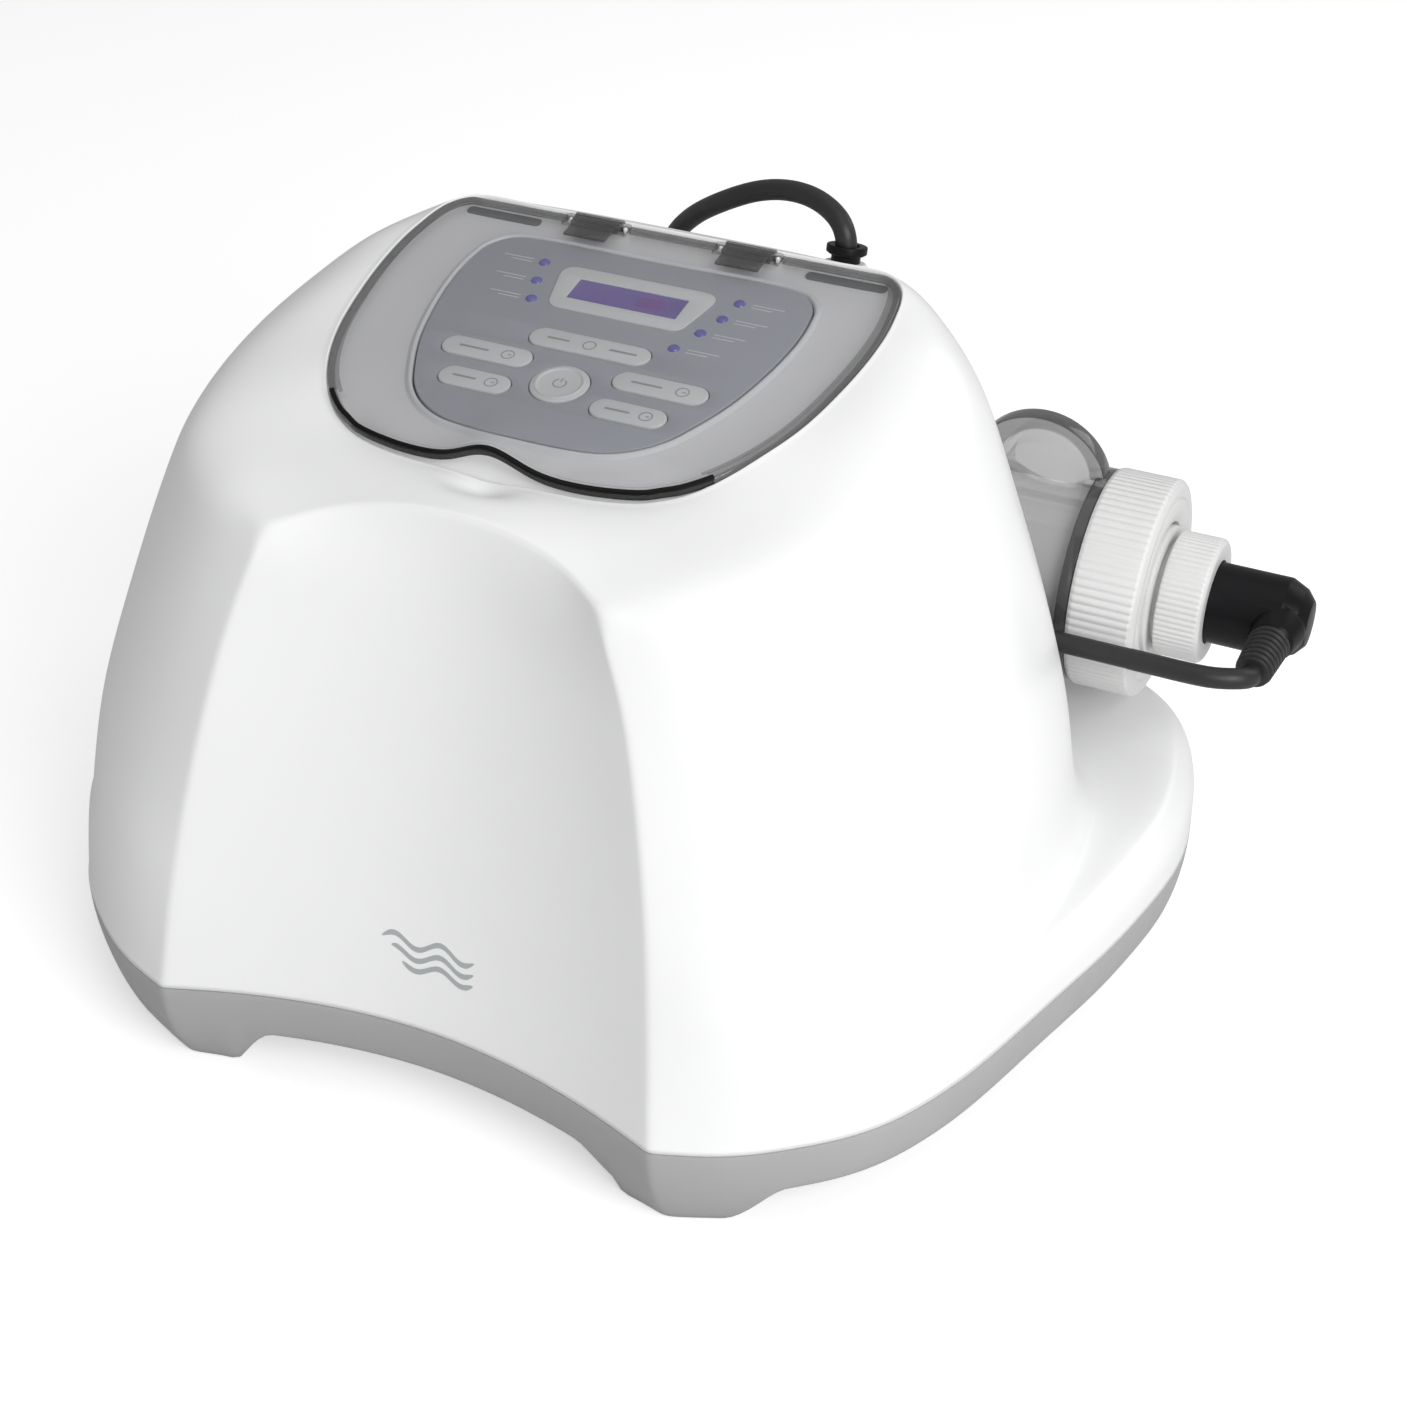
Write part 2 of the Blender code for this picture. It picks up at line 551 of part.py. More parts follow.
def make_upper_shell(panel_frame):
    shell = walled_loft("upper_shell", shell_skin_rings(), WHITE, WALL)
    level_edge(shell, SHELL_EDGE_Z)
    for x, y, top in POSTS:
        join(shell, cylinder("post", radius=0.0050, height=top - POST_FOOT_Z,
                             loc=(x, y, (top + POST_FOOT_Z) / 2), segments=12))
    for side, tag in SIDES:
        for ear_x in (HINGE_X - EAR_REACH, HINGE_X + EAR_REACH):
            join(shell, box("ear", (0.0026, 0.0068, 0.0062),
                            loc=(side * ear_x, 0.0002, 0.0008), parent=panel_frame))
    for side, tag in SIDES:
        cut(shell, cylinder("ear_bore", PIN_BORE_R, PIN_BORE_LENGTH, None,
                            (side * HINGE_X, 0.0, HINGE_UP), ALONG_X, panel_frame, 12))
    for x, y, top in POSTS:
        cut(shell, cylinder("pilot", radius=0.0020, height=0.0260, loc=(x, y, 0.0240),
                            segments=12))
    cut(shell, cylinder("gland_hole", radius=0.0072, height=0.0400,
                        loc=(GLAND.x, GLAND.y, GLAND.z - 0.004), rot=(-GLAND_TILT, 0, 0),
                        segments=16))
    cut(shell, cylinder("cable_hole", radius=0.0064, height=0.0500,
                        loc=(CABLE_X, CABLE_Y, CABLE_Z), rot=ALONG_X, segments=16))
    cut(shell, cylinder("sensor_hole", radius=0.0045, height=0.0500,
                        loc=(-CABLE_X, CABLE_Y, CABLE_Z), rot=ALONG_X, segments=12))
    baked(shell)


# ---------------------------------------------------------------- base tray
def base_skin_rings():
    """From near the middle of the floor out and up the tapered band."""
    outline = shell_row(NET[0], BASE_STATIONS)
    # inset from the joint line, z, scale about the origin
    steps = [(BASE_TAPER + 0.0080, BASE_BAND_Z, 0.02),
             (BASE_TAPER + 0.0080, BASE_BAND_Z, 0.55),
             (BASE_TAPER + 0.0080, BASE_BAND_Z, 1.0),
             (BASE_TAPER + 0.0012, BASE_BAND_Z + 0.0006, 1.0),
             (BASE_TAPER * 0.75, BASE_BAND_Z + 0.0040, 1.0),
             (0.0, BASE_EDGE_Z, 1.0)]
    return [full_ring([(x * scale, y * scale, z) for x, y in inset(outline, distance)])
            for distance, z, scale in steps]


def make_foot(name, first, last, square, taper):
    """A foot under the base along the outline from one station to another.

    square: how far its sides turn to the foot's middle direction (0 to 1);
    taper: length of its sole relative to its top."""
    line = shell_row(NET[0], np.linspace(first, last, 5))[:, :2]
    middle = line[2]
    chord = line[3] - line[1]
    middle_inward = np.array([-chord[1], chord[0]]) / np.linalg.norm(chord)
    outer_top, inner_top, outer_sole, inner_sole = [], [], [], []
    for i, point in enumerate(line):
        along = line[min(i + 1, len(line) - 1)] - line[max(i - 1, 0)]
        along = along / np.linalg.norm(along)
        inward = np.array([-along[1], along[0]]) * (1 - square) + middle_inward * square
        sole = middle + (point - middle) * taper
        outer_top.append((*(point + inward * 0.0042), BASE_BAND_Z + 0.0050))
        inner_top.append((*(point + inward * FOOT_DEPTH), BASE_BAND_Z + 0.0010))
        outer_sole.append((*(sole + inward * 0.0125), 0.0))
        inner_sole.append((*(sole + inward * (FOOT_DEPTH * 0.86)), 0.0))
    return solid_loft(name, [outer_sole + inner_sole[::-1], outer_top + inner_top[::-1]])


def mirrored_helper(name, obj):
    bm = bmesh.new()
    bm.from_mesh(obj.data)
    bmesh.ops.scale(bm, vec=(-1, 1, 1), verts=bm.verts)
    bmesh.ops.reverse_faces(bm, faces=bm.faces)
    return mesh_object(name, bm)


# Feet: place, first and last station, square, taper.
FEET = [("front", 2.25, 3.9, 0.65, 0.84), ("rear", 10.55, 12.2, 0.0, 0.72)]


def make_base_tray():
    base = walled_loft("base_tray", base_skin_rings(), GREY, WALL, cap_first=True)
    level_edge(base, BASE_EDGE_Z)
    for tag, first, last, square, taper in FEET:
        right = make_foot("foot_" + tag + "_r", first, last, square, taper)
        join(base, right)
        join(base, mirrored_helper("foot_" + tag + "_l", right))
    for side_x in (-1, 1):
        for side_y in (-1, 1):
            join(base, cylinder("board_post", radius=0.0030, height=0.0210, segments=10,
                                loc=(BOARD_X + side_x * 0.050, BOARD_Y + side_y * 0.040, 0.0320)))
    for x, y, top in POSTS:
        cut(base, cylinder("screw_hole", radius=0.0023, height=0.0500, loc=(x, y, 0.0250),
                           segments=12))
        cut(base, cylinder("screw_head_hole", radius=0.0045, height=0.0180,
                           loc=(x, y, 0.0090), segments=16))
    baked(base)


def make_base_screws():
    profile = [(0, 0.0345), (0.0015, 0.0335), (0.0016, 0.0177),
               (0.0036, 0.0170), (0.0036, 0.0150), (0, 0.0150)]
    for i, (x, y, top) in enumerate(POSTS):
        turned("base_screw_%d" % (i + 1), profile, STEEL, (x, y, 0.0), segments=12)


# ---------------------------------------------------------------- control panel
# Places on the panel are (x, distance along the slope from its rear end).
# Keys: middle x, middle y, half length.
KEYS = {
    "key_mode": (0.0, -0.0728, 0.0240),
    "key_left_upper": (-0.0342, -0.0875, 0.0180),
    "key_right_upper": (0.0350, -0.0875, 0.0182),
    "key_left_lower": (-0.0302, -0.1045, 0.0141),
    "key_right_lower": (0.0306, -0.1045, 0.0145),
}
KEY_R = 0.0053                 # radius of the keys' round ends
KEY_PROUD = 0.0005
KEY_BOTTOM = -0.0034
KEY_GAP = 0.0003               # clearance round keys and display
STEM_BOTTOM = -0.0075
POWER_AT, POWER_R = (0.0, -0.0967), 0.0108
# Indicator lights, from the rear forward.
LEDS_LEFT = [(-0.0407, -0.0293), (-0.0380, -0.0410), (-0.0344, -0.0523)]
LEDS_RIGHT = [(0.0404, -0.0307), (0.0384, -0.0418), (0.0345, -0.0523), (0.0293, -0.0639)]
LED_MARGIN = 0.0030            # light guide beyond its lights
LCD_AT, LCD_W, LCD_H = (0.0, -0.0415), 0.0446, 0.0126


def slope_y(y):
    """Depth y as distance along the panel's slope."""
    return (y - PANEL_Y) / PANEL_COS


def on_slope(points):
    return [(x, slope_y(y)) for x, y in points]


def make_panel(frame):
    holes = [pill(x, y, half_length + KEY_GAP, KEY_R + KEY_GAP)
             for x, y, half_length in KEYS.values()]
    holes.append(circle(*POWER_AT, POWER_R + KEY_GAP, 20))
    holes.append(rect(*LCD_AT, LCD_W + 2 * KEY_GAP, LCD_H + 2 * KEY_GAP))
    holes += [circle(x, y, 0.0019, 8) for x, y in LEDS_LEFT + LEDS_RIGHT]
    edge = [at_bearing(PANEL_EDGE, bearing) for bearing in rim_bearings]
    flat("control_panel", [closed_xy(on_slope(edge))] + holes, -PANEL_THICK, 0.0, PANEL, frame)


def make_panel_gasket(frame):
    outer, inner = inset(PANEL_EDGE, -0.0035), inset(PANEL_EDGE, 0.0030)
    flat("panel_gasket", [closed_xy(on_slope(outer)), closed_xy(on_slope(inner))],
         -0.0053, -0.0041, SEAL, frame)


def make_display(frame):
    flat("display_window", [rect(*LCD_AT, LCD_W, LCD_H)], -0.0022, 0.0002, SMOKE, frame)
    box("display_module", (0.0580, 0.0230, 0.0048), VIOLET, (*LCD_AT, -0.0058), frame)


def make_control_board(frame):
    box("control_board", (0.1040, 0.0960, 0.0016), BOARD, (0.0, -0.0660, -0.0095), frame)


def make_led_guide(name, spots, frame):
    """A strip under a row of lights, with a light pipe up to each."""
    line = list(spots)
    line[0] = (line[0][0], line[0][1] + LED_MARGIN)
    line[-1] = (line[-1][0], line[-1][1] - LED_MARGIN)
    outline = ([(x + LED_MARGIN, y) for x, y in reversed(line)]
               + [(x - LED_MARGIN, y) for x, y in line])
    guide = flat(name, [outline], -0.0046, -0.0034, CLEAR, frame)
    for x, y in spots:
        join(guide, cylinder("light_pipe", radius=0.0016, height=0.0044, loc=(x, y, -0.0018),
                             parent=frame, segments=8))
    baked(guide)


def make_keys(frame):
    for name, (x, y, half_length) in KEYS.items():
        pivot = empty(name + "_axis", (x, y, 0.0), parent=frame)
        key = flat(name, [pill(0, 0, half_length, KEY_R)], KEY_BOTTOM, KEY_PROUD, PALE, pivot)
        join(key, cylinder("key_stem", radius=0.0020, height=0.0050,
                           loc=(0, 0, STEM_BOTTOM + 0.0025), parent=pivot, segments=8))
        baked(key)


def make_power_key(frame):
    pivot = empty("key_power_axis", (*POWER_AT, 0.0), parent=frame)
    turned("key_power", [
        (0, KEY_PROUD), (POWER_R * 0.92, KEY_PROUD + 0.0001), (POWER_R, KEY_PROUD - 0.0006),
        (POWER_R, KEY_BOTTOM), (0.0022, KEY_BOTTOM), (0.0022, STEM_BOTTOM), (0, STEM_BOTTOM)],
        PALE, parent=pivot)


# ---------------------------------------------------------------- lid
LID_GAP = 0.0012               # between the lid's edge and the rim
LID_MIDDLE_Y = -0.010          # the lid's rings shrink towards here
LID_RING_SCALES = (1.0, 0.9, 0.76, 0.55, 0.3)
TRIM_HEIGHT = 0.0012
TRIM_REAR_Y = -0.055           # the strip under the lid's edge stays in front of this


def lid_up(x, y):
    """Height of the lid's top above the panel plane, with a soft bulge to lift
    it by at the middle of the front edge."""
    bulge = 0.0082 * math.exp(-((x / 0.0145) ** 2)) * front_fade(y, 0.046, 0.036)
    return LID_TOP - 0.0015 * front_fade(y, 0.050, 0.034) + bulge


def make_lid(hinge):
    rear_y = PANEL_Y + 0.0008 * PANEL_COS
    edge = [(x, min(y, rear_y)) for x, y in inset(rim, LID_GAP)]
    rings = []
    for scale in LID_RING_SCALES:
        half = []
        for edge_x, edge_y in edge:
            x, y = edge_x * scale, LID_MIDDLE_Y + (edge_y - LID_MIDDLE_Y) * scale
            half.append((x, slope_y(y), lid_up(x, y) - HINGE_UP))
        rings.append(full_ring(half))
    lid = walled_loft("lid", rings, SMOKE, LID_THICK, cap_last=True, parent=hinge)
    for side, tag in SIDES:
        cut(lid, box("hinge_notch", (0.0272, 0.0130, 0.0120),
                     loc=(side * HINGE_X, 0.0008, 0.0), parent=hinge))
    baked(lid)


def make_hinge(side, tag, hinge, frame):
    """A clip under the lid's rear edge and the pin it turns on."""
    at = (side * HINGE_X, 0.0, 0.0)
    clip = box("hinge_clip_" + tag, (0.0200, 0.0052, 0.0026), SMOKE,
               (side * HINGE_X, -0.0028, 0.0006), hinge)
    join(clip, cylinder("clip_barrel", 0.0022, 0.0200, None, at, ALONG_X, hinge, 16))
    cut(clip, cylinder("clip_bore", PIN_BORE_R, PIN_BORE_LENGTH, None, at, ALONG_X, hinge, 12))
    baked(clip)
    cylinder("hinge_pin_" + tag, PIN_R, 0.0262, STEEL, (side * HINGE_X, 0.0, HINGE_UP),
             ALONG_X, frame, 12)


def make_lid_trim(hinge):
    """Glossy strip under the lid's front edge."""
    outer, inner = inset(rim, 0.0018), inset(rim, 0.0034)
    count = sum(y < TRIM_REAR_Y for x, y in outer)
    outer, inner = ([(-x, y) for x, y in line[count - 1:0:-1]] + line[:count]
                    for line in (outer, inner))
    sections = []
    for (outer_x, outer_y), (inner_x, inner_y) in zip(outer, inner):
        top = lid_up(outer_x, outer_y) - HINGE_UP - LID_THICK - 0.0003
        sections.append([(outer_x, slope_y(outer_y), top - TRIM_HEIGHT),
                         (outer_x, slope_y(outer_y), top),
                         (inner_x, slope_y(inner_y), top),
                         (inner_x, slope_y(inner_y), top - TRIM_HEIGHT)])
    solid_loft("lid_front_trim", sections, BLACK).parent = hinge


# ---------------------------------------------------------------- electrolytic cell
# Turned profiles of the cell are (radius, x along the cell).  Under a scaled
# frame the radii are before the scale CELL_K.
HOUSING_PROFILE = [
    (0.0432, CELL_END), (0.0432, 0.1603), (0.0468, 0.1602), (0.0468, 0.1556), (CELL_R, 0.1548),
    (CELL_R, -0.1578), (0.0468, -0.1586), (0.0468, -0.1632), (0.0432, -0.1633),
    (0.0432, -CELL_END), (CELL_BORE, -CELL_END), (CELL_BORE, CELL_END)]
PORT_X, PORT_Z = 0.1312, 0.1632
PORT_R, PORT_BORE = 0.0190, 0.0160
PORT_FRONT, PORT_BACK = 0.1236, 0.1450        # y of the ports' ends
# Radius, y.
PORT_PROFILE = [
    (0, PORT_BACK), (PORT_R, PORT_BACK), (PORT_R, PORT_FRONT + 0.0084),
    (0.0288, PORT_FRONT + 0.0080), (0.0288, PORT_FRONT), (0, PORT_FRONT)]
PORT_CUT_LENGTH = 0.0800
SADDLE_X, SADDLE_THICK, SADDLE_R = 0.0850, 0.0140, 0.0414

CAP_PROFILE = [
    (0, 0.1945), (0.0140, 0.1945), (0.0140, 0.2030), (0.0212, 0.2030), (0.0212, 0.1880),
    (0.0285, 0.1876), (0.0285, 0.1790), (0.0425, 0.1790), (0.0425, CELL_END + 0.0003),
    (0.0368, CELL_END + 0.0003), (0.0368, 0.1690), (0.0338, 0.1690), (0.0338, 0.1640),
    (0.0368, 0.1640), (0.0368, 0.1540), (0, 0.1540)]
ORING_PROFILE = [(0.03715, 0.1675), (0.03715, 0.1655), (0.0342, 0.1655), (0.0342, 0.1675)]
WASHER_PROFILE = [(0.0425, 0.1807), (0.0425, 0.1793), (0.0300, 0.1793), (0.0300, 0.1807)]
COLLAR_PROFILE = [
    (0.0300, 0.1865), (0.0345, 0.1872), (0.0440, 0.1872), (NUT_R, 0.1850), (NUT_R, 0.1610),
    (0.0472, 0.1606), (0.0437, 0.1606), (0.0437, 0.1810), (0.0300, 0.1810)]
PLATE_PITCH = 0.0080
PLATE_YS = [(i - 2) * PLATE_PITCH for i in range(5)]
FLOW_SLOT_YS = [(i - 1.5) * PLATE_PITCH for i in range(4)]    # between the plates
PLATE_SLOT = (0.0080, 0.0018, 0.0520)
SPACER_X = 0.0370
CONTACTS = ((0.0, 0.0072), (0.0062, -0.0036), (-0.0062, -0.0036))    # y, z from the axis


def cell_frame(name, x=0.0, z=CELL_Z):
    return empty(name, (x, CELL_Y, z), scale=(1, CELL_K, CELL_K))


def make_cell_housing(frame):
    """The clear tube with its two ports on the back."""
    housing = baked(turned("cell_housing", HOUSING_PROFILE, SMOKE, rot=ALONG_X, parent=frame,
                           segments=28))
    for side, tag in SIDES:
        join(housing, turned("port", PORT_PROFILE, loc=(side * PORT_X, 0, PORT_Z), rot=ALONG_Y))
    housing = baked(housing)
    cut(housing, cylinder("chamber_bore", CELL_BORE * CELL_K, 2 * CELL_END + 0.01,
                          loc=(0, CELL_Y, CELL_Z), rot=ALONG_X, segments=28))
    port_cut_y = PORT_FRONT + 0.0030 + PORT_CUT_LENGTH / 2
    for side, tag in SIDES:
        cut(housing, cylinder("port_bore", PORT_BORE, PORT_CUT_LENGTH,
                              loc=(side * PORT_X, port_cut_y, PORT_Z), rot=ALONG_Y))
    baked(housing)


def make_saddles():
    """Cradles between shell and cell; the outline is (y, z), turned upright."""
    arc = []
    for i in range(9):
        angle = math.radians(-32 - 116 * i / 8)
        arc.append((CELL_Y + SADDLE_R * CELL_K * math.cos(angle),
                    CELL_Z + SADDLE_R * CELL_K * math.sin(angle)))
    outline = ([(CELL_Y - 0.0340, 0.0738), (CELL_Y + 0.0330, 0.0738), (CELL_Y + 0.0380, 0.0980)]
               + arc + [(CELL_Y - 0.0380, 0.0980)])
    upright = Matrix(((0, 0, 1, 0), (1, 0, 0, 0), (0, 1, 0, 0), (0, 0, 0, 1)))
    for side, tag in SIDES:
        saddle = flat("cell_saddle_" + tag, [outline], -SADDLE_THICK / 2, SADDLE_THICK / 2, GREY)
        saddle.matrix_world = Matrix.Translation((side * SADDLE_X, 0, 0)) @ upright


def make_electrode_cap(frame):
    cap = baked(turned("electrode_cap", CAP_PROFILE, NUT_WHITE, rot=ALONG_X, parent=frame))
    for y in PLATE_YS:
        cut(cap, box("plate_slot", PLATE_SLOT, loc=(0.1540, y, 0.0), parent=frame))
    for y, z in CONTACTS:
        cut(cap, cylinder("pin_bore", radius=0.0016, height=0.0080, loc=(0.1940, y, z),
                          rot=ALONG_X, parent=frame, segments=8))
    baked(cap)
    turned("cap_oring", ORING_PROFILE, SEAL, rot=ALONG_X, parent=frame)


def make_electrode(frame):
    """Plates, the slotted disc that spaces them, and the contact pins."""
    for i, y in enumerate(PLATE_YS):
        box("electrode_plate_%d" % (i + 1), (0.1180, 0.0010, 0.0510), TITANIUM,
            (0.0977, y, 0.0), frame)
    spacer = cylinder("plate_spacer", 0.0350, 0.0100, NUT_WHITE, (SPACER_X, 0, 0), ALONG_X, frame)
    for y in PLATE_YS:
        cut(spacer, box("comb_slot", PLATE_SLOT, loc=(SPACER_X + 0.0045, y, 0.0), parent=frame))
    for y in FLOW_SLOT_YS:
        cut(spacer, box("flow_slot", (0.0240, 0.0036, 0.0440), loc=(SPACER_X, y, 0.0),
                        parent=frame))
    baked(spacer)
    for i, (y, z) in enumerate(CONTACTS):
        cylinder("contact_pin_%d" % (i + 1), 0.0012, 0.0080, CONTACT, (0.1950, y, z),
                 ALONG_X, frame, 8)


def make_collar(frame):
    turned("thrust_washer", WASHER_PROFILE, SEAL, rot=ALONG_X, parent=frame)
    turned("collar_nut", COLLAR_PROFILE, NUT_WHITE, rot=ALONG_X, parent=frame, segments=28)


# ---------------------------------------------------------------- cell connector
PLUG_R = 0.0163
PLUG_PROFILE = [
    (0, 0.2470), (0.0090, 0.2465), (0.0132, 0.2430), (PLUG_R, 0.2360), (PLUG_R, 0.2058),
    (0.0192, 0.2056), (0.0192, 0.2033), (0.0124, 0.2033), (0.0124, 0.2000), (0, 0.2000)]
RING_PROFILE = [
    (0.0170, 0.2085), (0.0240, 0.2085), (0.0254, 0.2070), (0.0254, 0.1905),
    (0.0208, 0.1905), (0.0208, 0.2061), (0.0170, 0.2061)]
BOOT_START = Vector((0.2360, CELL_Y - 0.0080, CELL_Z + 0.0005))    # inside the plug
BOOT_END = Vector((0.2345, 0.0800, 0.1270))
BOOT_DIR = (BOOT_END - BOOT_START).normalized()
BOOT_ROT = BOOT_DIR.to_track_quat("Z", "Y").to_euler()
CELL_CABLE_PATH = [
    (0.2026, CABLE_Y, CABLE_Z), (0.1900, CABLE_Y, CABLE_Z), (0.1700, CABLE_Y, CABLE_Z),
    (0.1600, CABLE_Y, CABLE_Z), (CABLE_X, CABLE_Y, CABLE_Z), (0.1340, CABLE_Y, CABLE_Z),
    (0.1240, 0.0640, 0.1275), (0.1120, 0.0560, 0.1200)]


def make_cell_plug(frame):
    plug = baked(turned("cell_plug", PLUG_PROFILE, BLACK, rot=ALONG_X, parent=frame))
    join(plug, cylinder("plug_head", radius=0.0098, height=0.0150, top_radius=0.0078,
                        loc=BOOT_START + BOOT_DIR * 0.0040, rot=BOOT_ROT, segments=16))
    for y, z in CONTACTS:
        cut(plug, cylinder("socket", radius=0.0016, height=0.0040, rot=ALONG_X, segments=8,
                           loc=(0.2000, CELL_Y + y * CELL_K, CELL_Z + z * CELL_K)))
    baked(plug)
    turned("connector_ring", RING_PROFILE, NUT_WHITE, rot=ALONG_X, parent=frame)


def make_plug_boot():
    """The boot is moulded on the cable's end and carries its bend to x = 0.2030."""
    foot = BOOT_START + BOOT_DIR * 0.0118
    length = (BOOT_END - foot).length
    boot = turned("plug_boot", [(0, length), (0.0056, length), (0.0062, 0.0), (0, 0.0)],
                  RUBBER, foot, BOOT_ROT, segments=12)
    bend = [tuple(BOOT_END - BOOT_DIR * 0.0020), tuple(BOOT_END + BOOT_DIR * 0.0030),
            (0.2310, 0.0718, 0.1283), (0.2220, 0.0680, 0.1285),
            (0.2110, CABLE_Y, CABLE_Z), (0.2030, CABLE_Y, CABLE_Z)]
    tail = baked(tube("cable_tail", bend, CABLE_R))
    PARTS.objects.unlink(tail)
    link_helper(tail)
    join(boot, tail)
    baked(boot)


def make_cell_cable():
    tube("cell_cable", CELL_CABLE_PATH, CABLE_R)
    bore = CABLE_R + 0.0005
    turned("cell_cable_gland",
           [(0.0058, 0.0080), (0.0058, -0.0100), (bore, -0.0100), (bore, 0.0080)],
           RUBBER, (CABLE_X + 0.0015, CABLE_Y, CABLE_Z), ALONG_X, segments=16)


# ---------------------------------------------------------------- flow sensor
SENSOR_PROFILE = [
    (0, -0.1480), (0.0368, -0.1480), (0.0368, -CELL_END - 0.0003), (0.0425, -CELL_END - 0.0003),
    (0.0425, -0.1790), (0.0240, -0.1794), (0.0230, -0.1960), (0.0180, -0.2000), (0, -0.2000)]
SENSOR_RING_PROFILE = [
    (0.0437, -0.1636), (0.0472, -0.1636), (NUT_R, -0.1640), (NUT_R, -0.1850),
    (0.0440, -0.1872), (0.0300, -0.1865), (0.0300, -0.1795), (0.0437, -0.1795)]
PADDLE_X, PADDLE_Z = -0.1330, CELL_Z + 0.0240 * CELL_K
PADDLE_OFFSET = -0.0050        # the paddle and its pivot, from the paddle's frame
SENSOR_CABLE_PATH = [
    (-0.2008, CELL_Y, CELL_Z), (-0.2040, CELL_Y, CELL_Z), (-0.2075, CELL_Y - 0.004, CELL_Z),
    (-0.2110, CELL_Y - 0.022, CELL_Z + 0.001), (-0.2060, 0.0760, CABLE_Z),
    (-0.1900, 0.0680, CABLE_Z), (-0.1720, CABLE_Y, CABLE_Z), (-0.1300, CABLE_Y, CABLE_Z)]


def make_sensor_body(frame):
    """The plug at the cell's left end, with two arms that hold the paddle's pivot."""
    body = baked(turned("flow_sensor_body", SENSOR_PROFILE, BLACK, rot=ALONG_X, parent=frame))
    for name, y in (("flow_sensor_bracket_arm", CELL_Y - 0.0060),
                    ("flow_sensor_bracket_arm2", CELL_Y + 0.0060)):
        join(body, box(name, (0.0160, 0.0040, 0.0060), loc=(PADDLE_X - 0.0100, y, PADDLE_Z)))
    cut(body, cylinder("paddle_bore", radius=0.0015, height=0.0400, rot=ALONG_Y, segments=8,
                       loc=(PADDLE_X + PADDLE_OFFSET, CELL_Y, PADDLE_Z)))
    baked(body)


def make_sensor_ring(frame):
    turned("sensor_ring", SENSOR_RING_PROFILE, NUT_WHITE, rot=ALONG_X, parent=frame, segments=28)


def make_paddle():
    frame = cell_frame("paddle_axis", PADDLE_X, PADDLE_Z)
    paddle = box("flow_paddle", (0.0016, 0.0072, 0.0340), NUT_WHITE,
                 (PADDLE_OFFSET, 0, -0.0150), frame)
    join(paddle, box("paddle_blade", (0.0016, 0.0220, 0.0180),
                     loc=(PADDLE_OFFSET, 0, -0.0330), parent=frame))
    join(paddle, cylinder("paddle_pivot", radius=0.0012, height=0.0180,
                          loc=(PADDLE_OFFSET, 0, 0), rot=ALONG_Y, parent=frame, segments=8))
    baked(paddle)


# ---------------------------------------------------------------- mains side
GLAND_DIR = Vector((0, math.sin(GLAND_TILT), math.cos(GLAND_TILT)))
# From inside the shell up through the gland, over to the left and down behind
# the cell, then along the ground to the plug.
CORD_PATH = [tuple(GLAND + GLAND_DIR * along) for along in (-0.0150, 0.0, 0.0120)] + [
    (0.0600, 0.0845, 0.2745), (0.0538, 0.0905, 0.2770), (0.0434, 0.0975, 0.2785),
    (0.0289, 0.1050, 0.2768), (0.0142, 0.1100, 0.2722), (-0.0051, 0.1160, 0.2616),
    (-0.0206, 0.1230, 0.2500), (-0.0330, 0.1320, 0.2360), (-0.0460, 0.1480, 0.2130),
    (-0.0580, 0.1700, 0.1750), (-0.0660, 0.1850, 0.1250), (-0.0700, 0.1960, 0.0700),
    (-0.0680, 0.2080, 0.0280), (-0.0560, 0.2180, 0.0085), (-0.0350, 0.2240, 0.0046),
    (0.0000, 0.2240, 0.0046), (0.0210, 0.2222, 0.0060), (0.0420, 0.2160, 0.0125),
    (0.0600, 0.2090, 0.0172)]
MAINS_PLUG_R = 0.0175          # the plug lies on the ground on this radius
# Radius, distance from the cord's end.
MAINS_PLUG_PROFILE = [
    (0, 0.0400), (0.0160, 0.0400), (MAINS_PLUG_R, 0.0380), (MAINS_PLUG_R, 0.0260),
    (0.0100, 0.0120), (0.0075, 0.0010), (0, 0.0010)]


def make_cord_gland():
    bore = CORD_R + 0.0006
    turned("cord_gland", [
        (0.0078, 0.0128), (0.0078, 0.0100), (0.0056, 0.0088), (0.0054, -0.0100),
        (bore, -0.0100), (bore, 0.0128)], RUBBER, GLAND, (-GLAND_TILT, 0, 0), segments=16)


def make_mains_plug():
    end = Vector(CORD_PATH[-1])
    heading = (end - Vector(CORD_PATH[-2])).normalized()
    start = end + heading * 0.0006
    frame = empty("mains_plug_axis", (start.x, start.y, MAINS_PLUG_R),
                  (0, 0, math.atan2(heading.y, heading.x)))
    plug = baked(turned("mains_plug", MAINS_PLUG_PROFILE, BLACK, rot=ALONG_X, parent=frame,
                        segments=20))
    for side, tag in SIDES:
        join(plug, cylinder("plug_prong", radius=0.0022, height=0.0210, rot=ALONG_X,
                            loc=(0.0490, side * 0.0095, 0.0), parent=frame, segments=10))
    baked(plug)


# ---------------------------------------------------------------- inside
TRANSFORMER_X, TRANSFORMER_Y, TRANSFORMER_Z = -0.0800, -0.0150, 0.0240
STAND_UP = Matrix.Rotation(math.pi / 2, 4, "X")      # turns an outline's y upwards
HEATSINK_W, HEATSINK_BASE, HEATSINK_H, FINS = 0.0500, 0.0050, 0.0300, 5
RIBBON_X, RIBBON_HALF_W, RIBBON_HALF_THICK = 0.0240, 0.0100, 0.0006
# x is not used: the ribbon runs at RIBBON_X.
RIBBON_PATH = [(0.0, -0.0150, 0.0450), (0.0, -0.0220, 0.0900), (0.0, -0.0050, 0.1450),
               (0.0, 0.0050, 0.2000), (0.0, 0.0040, 0.2440)]


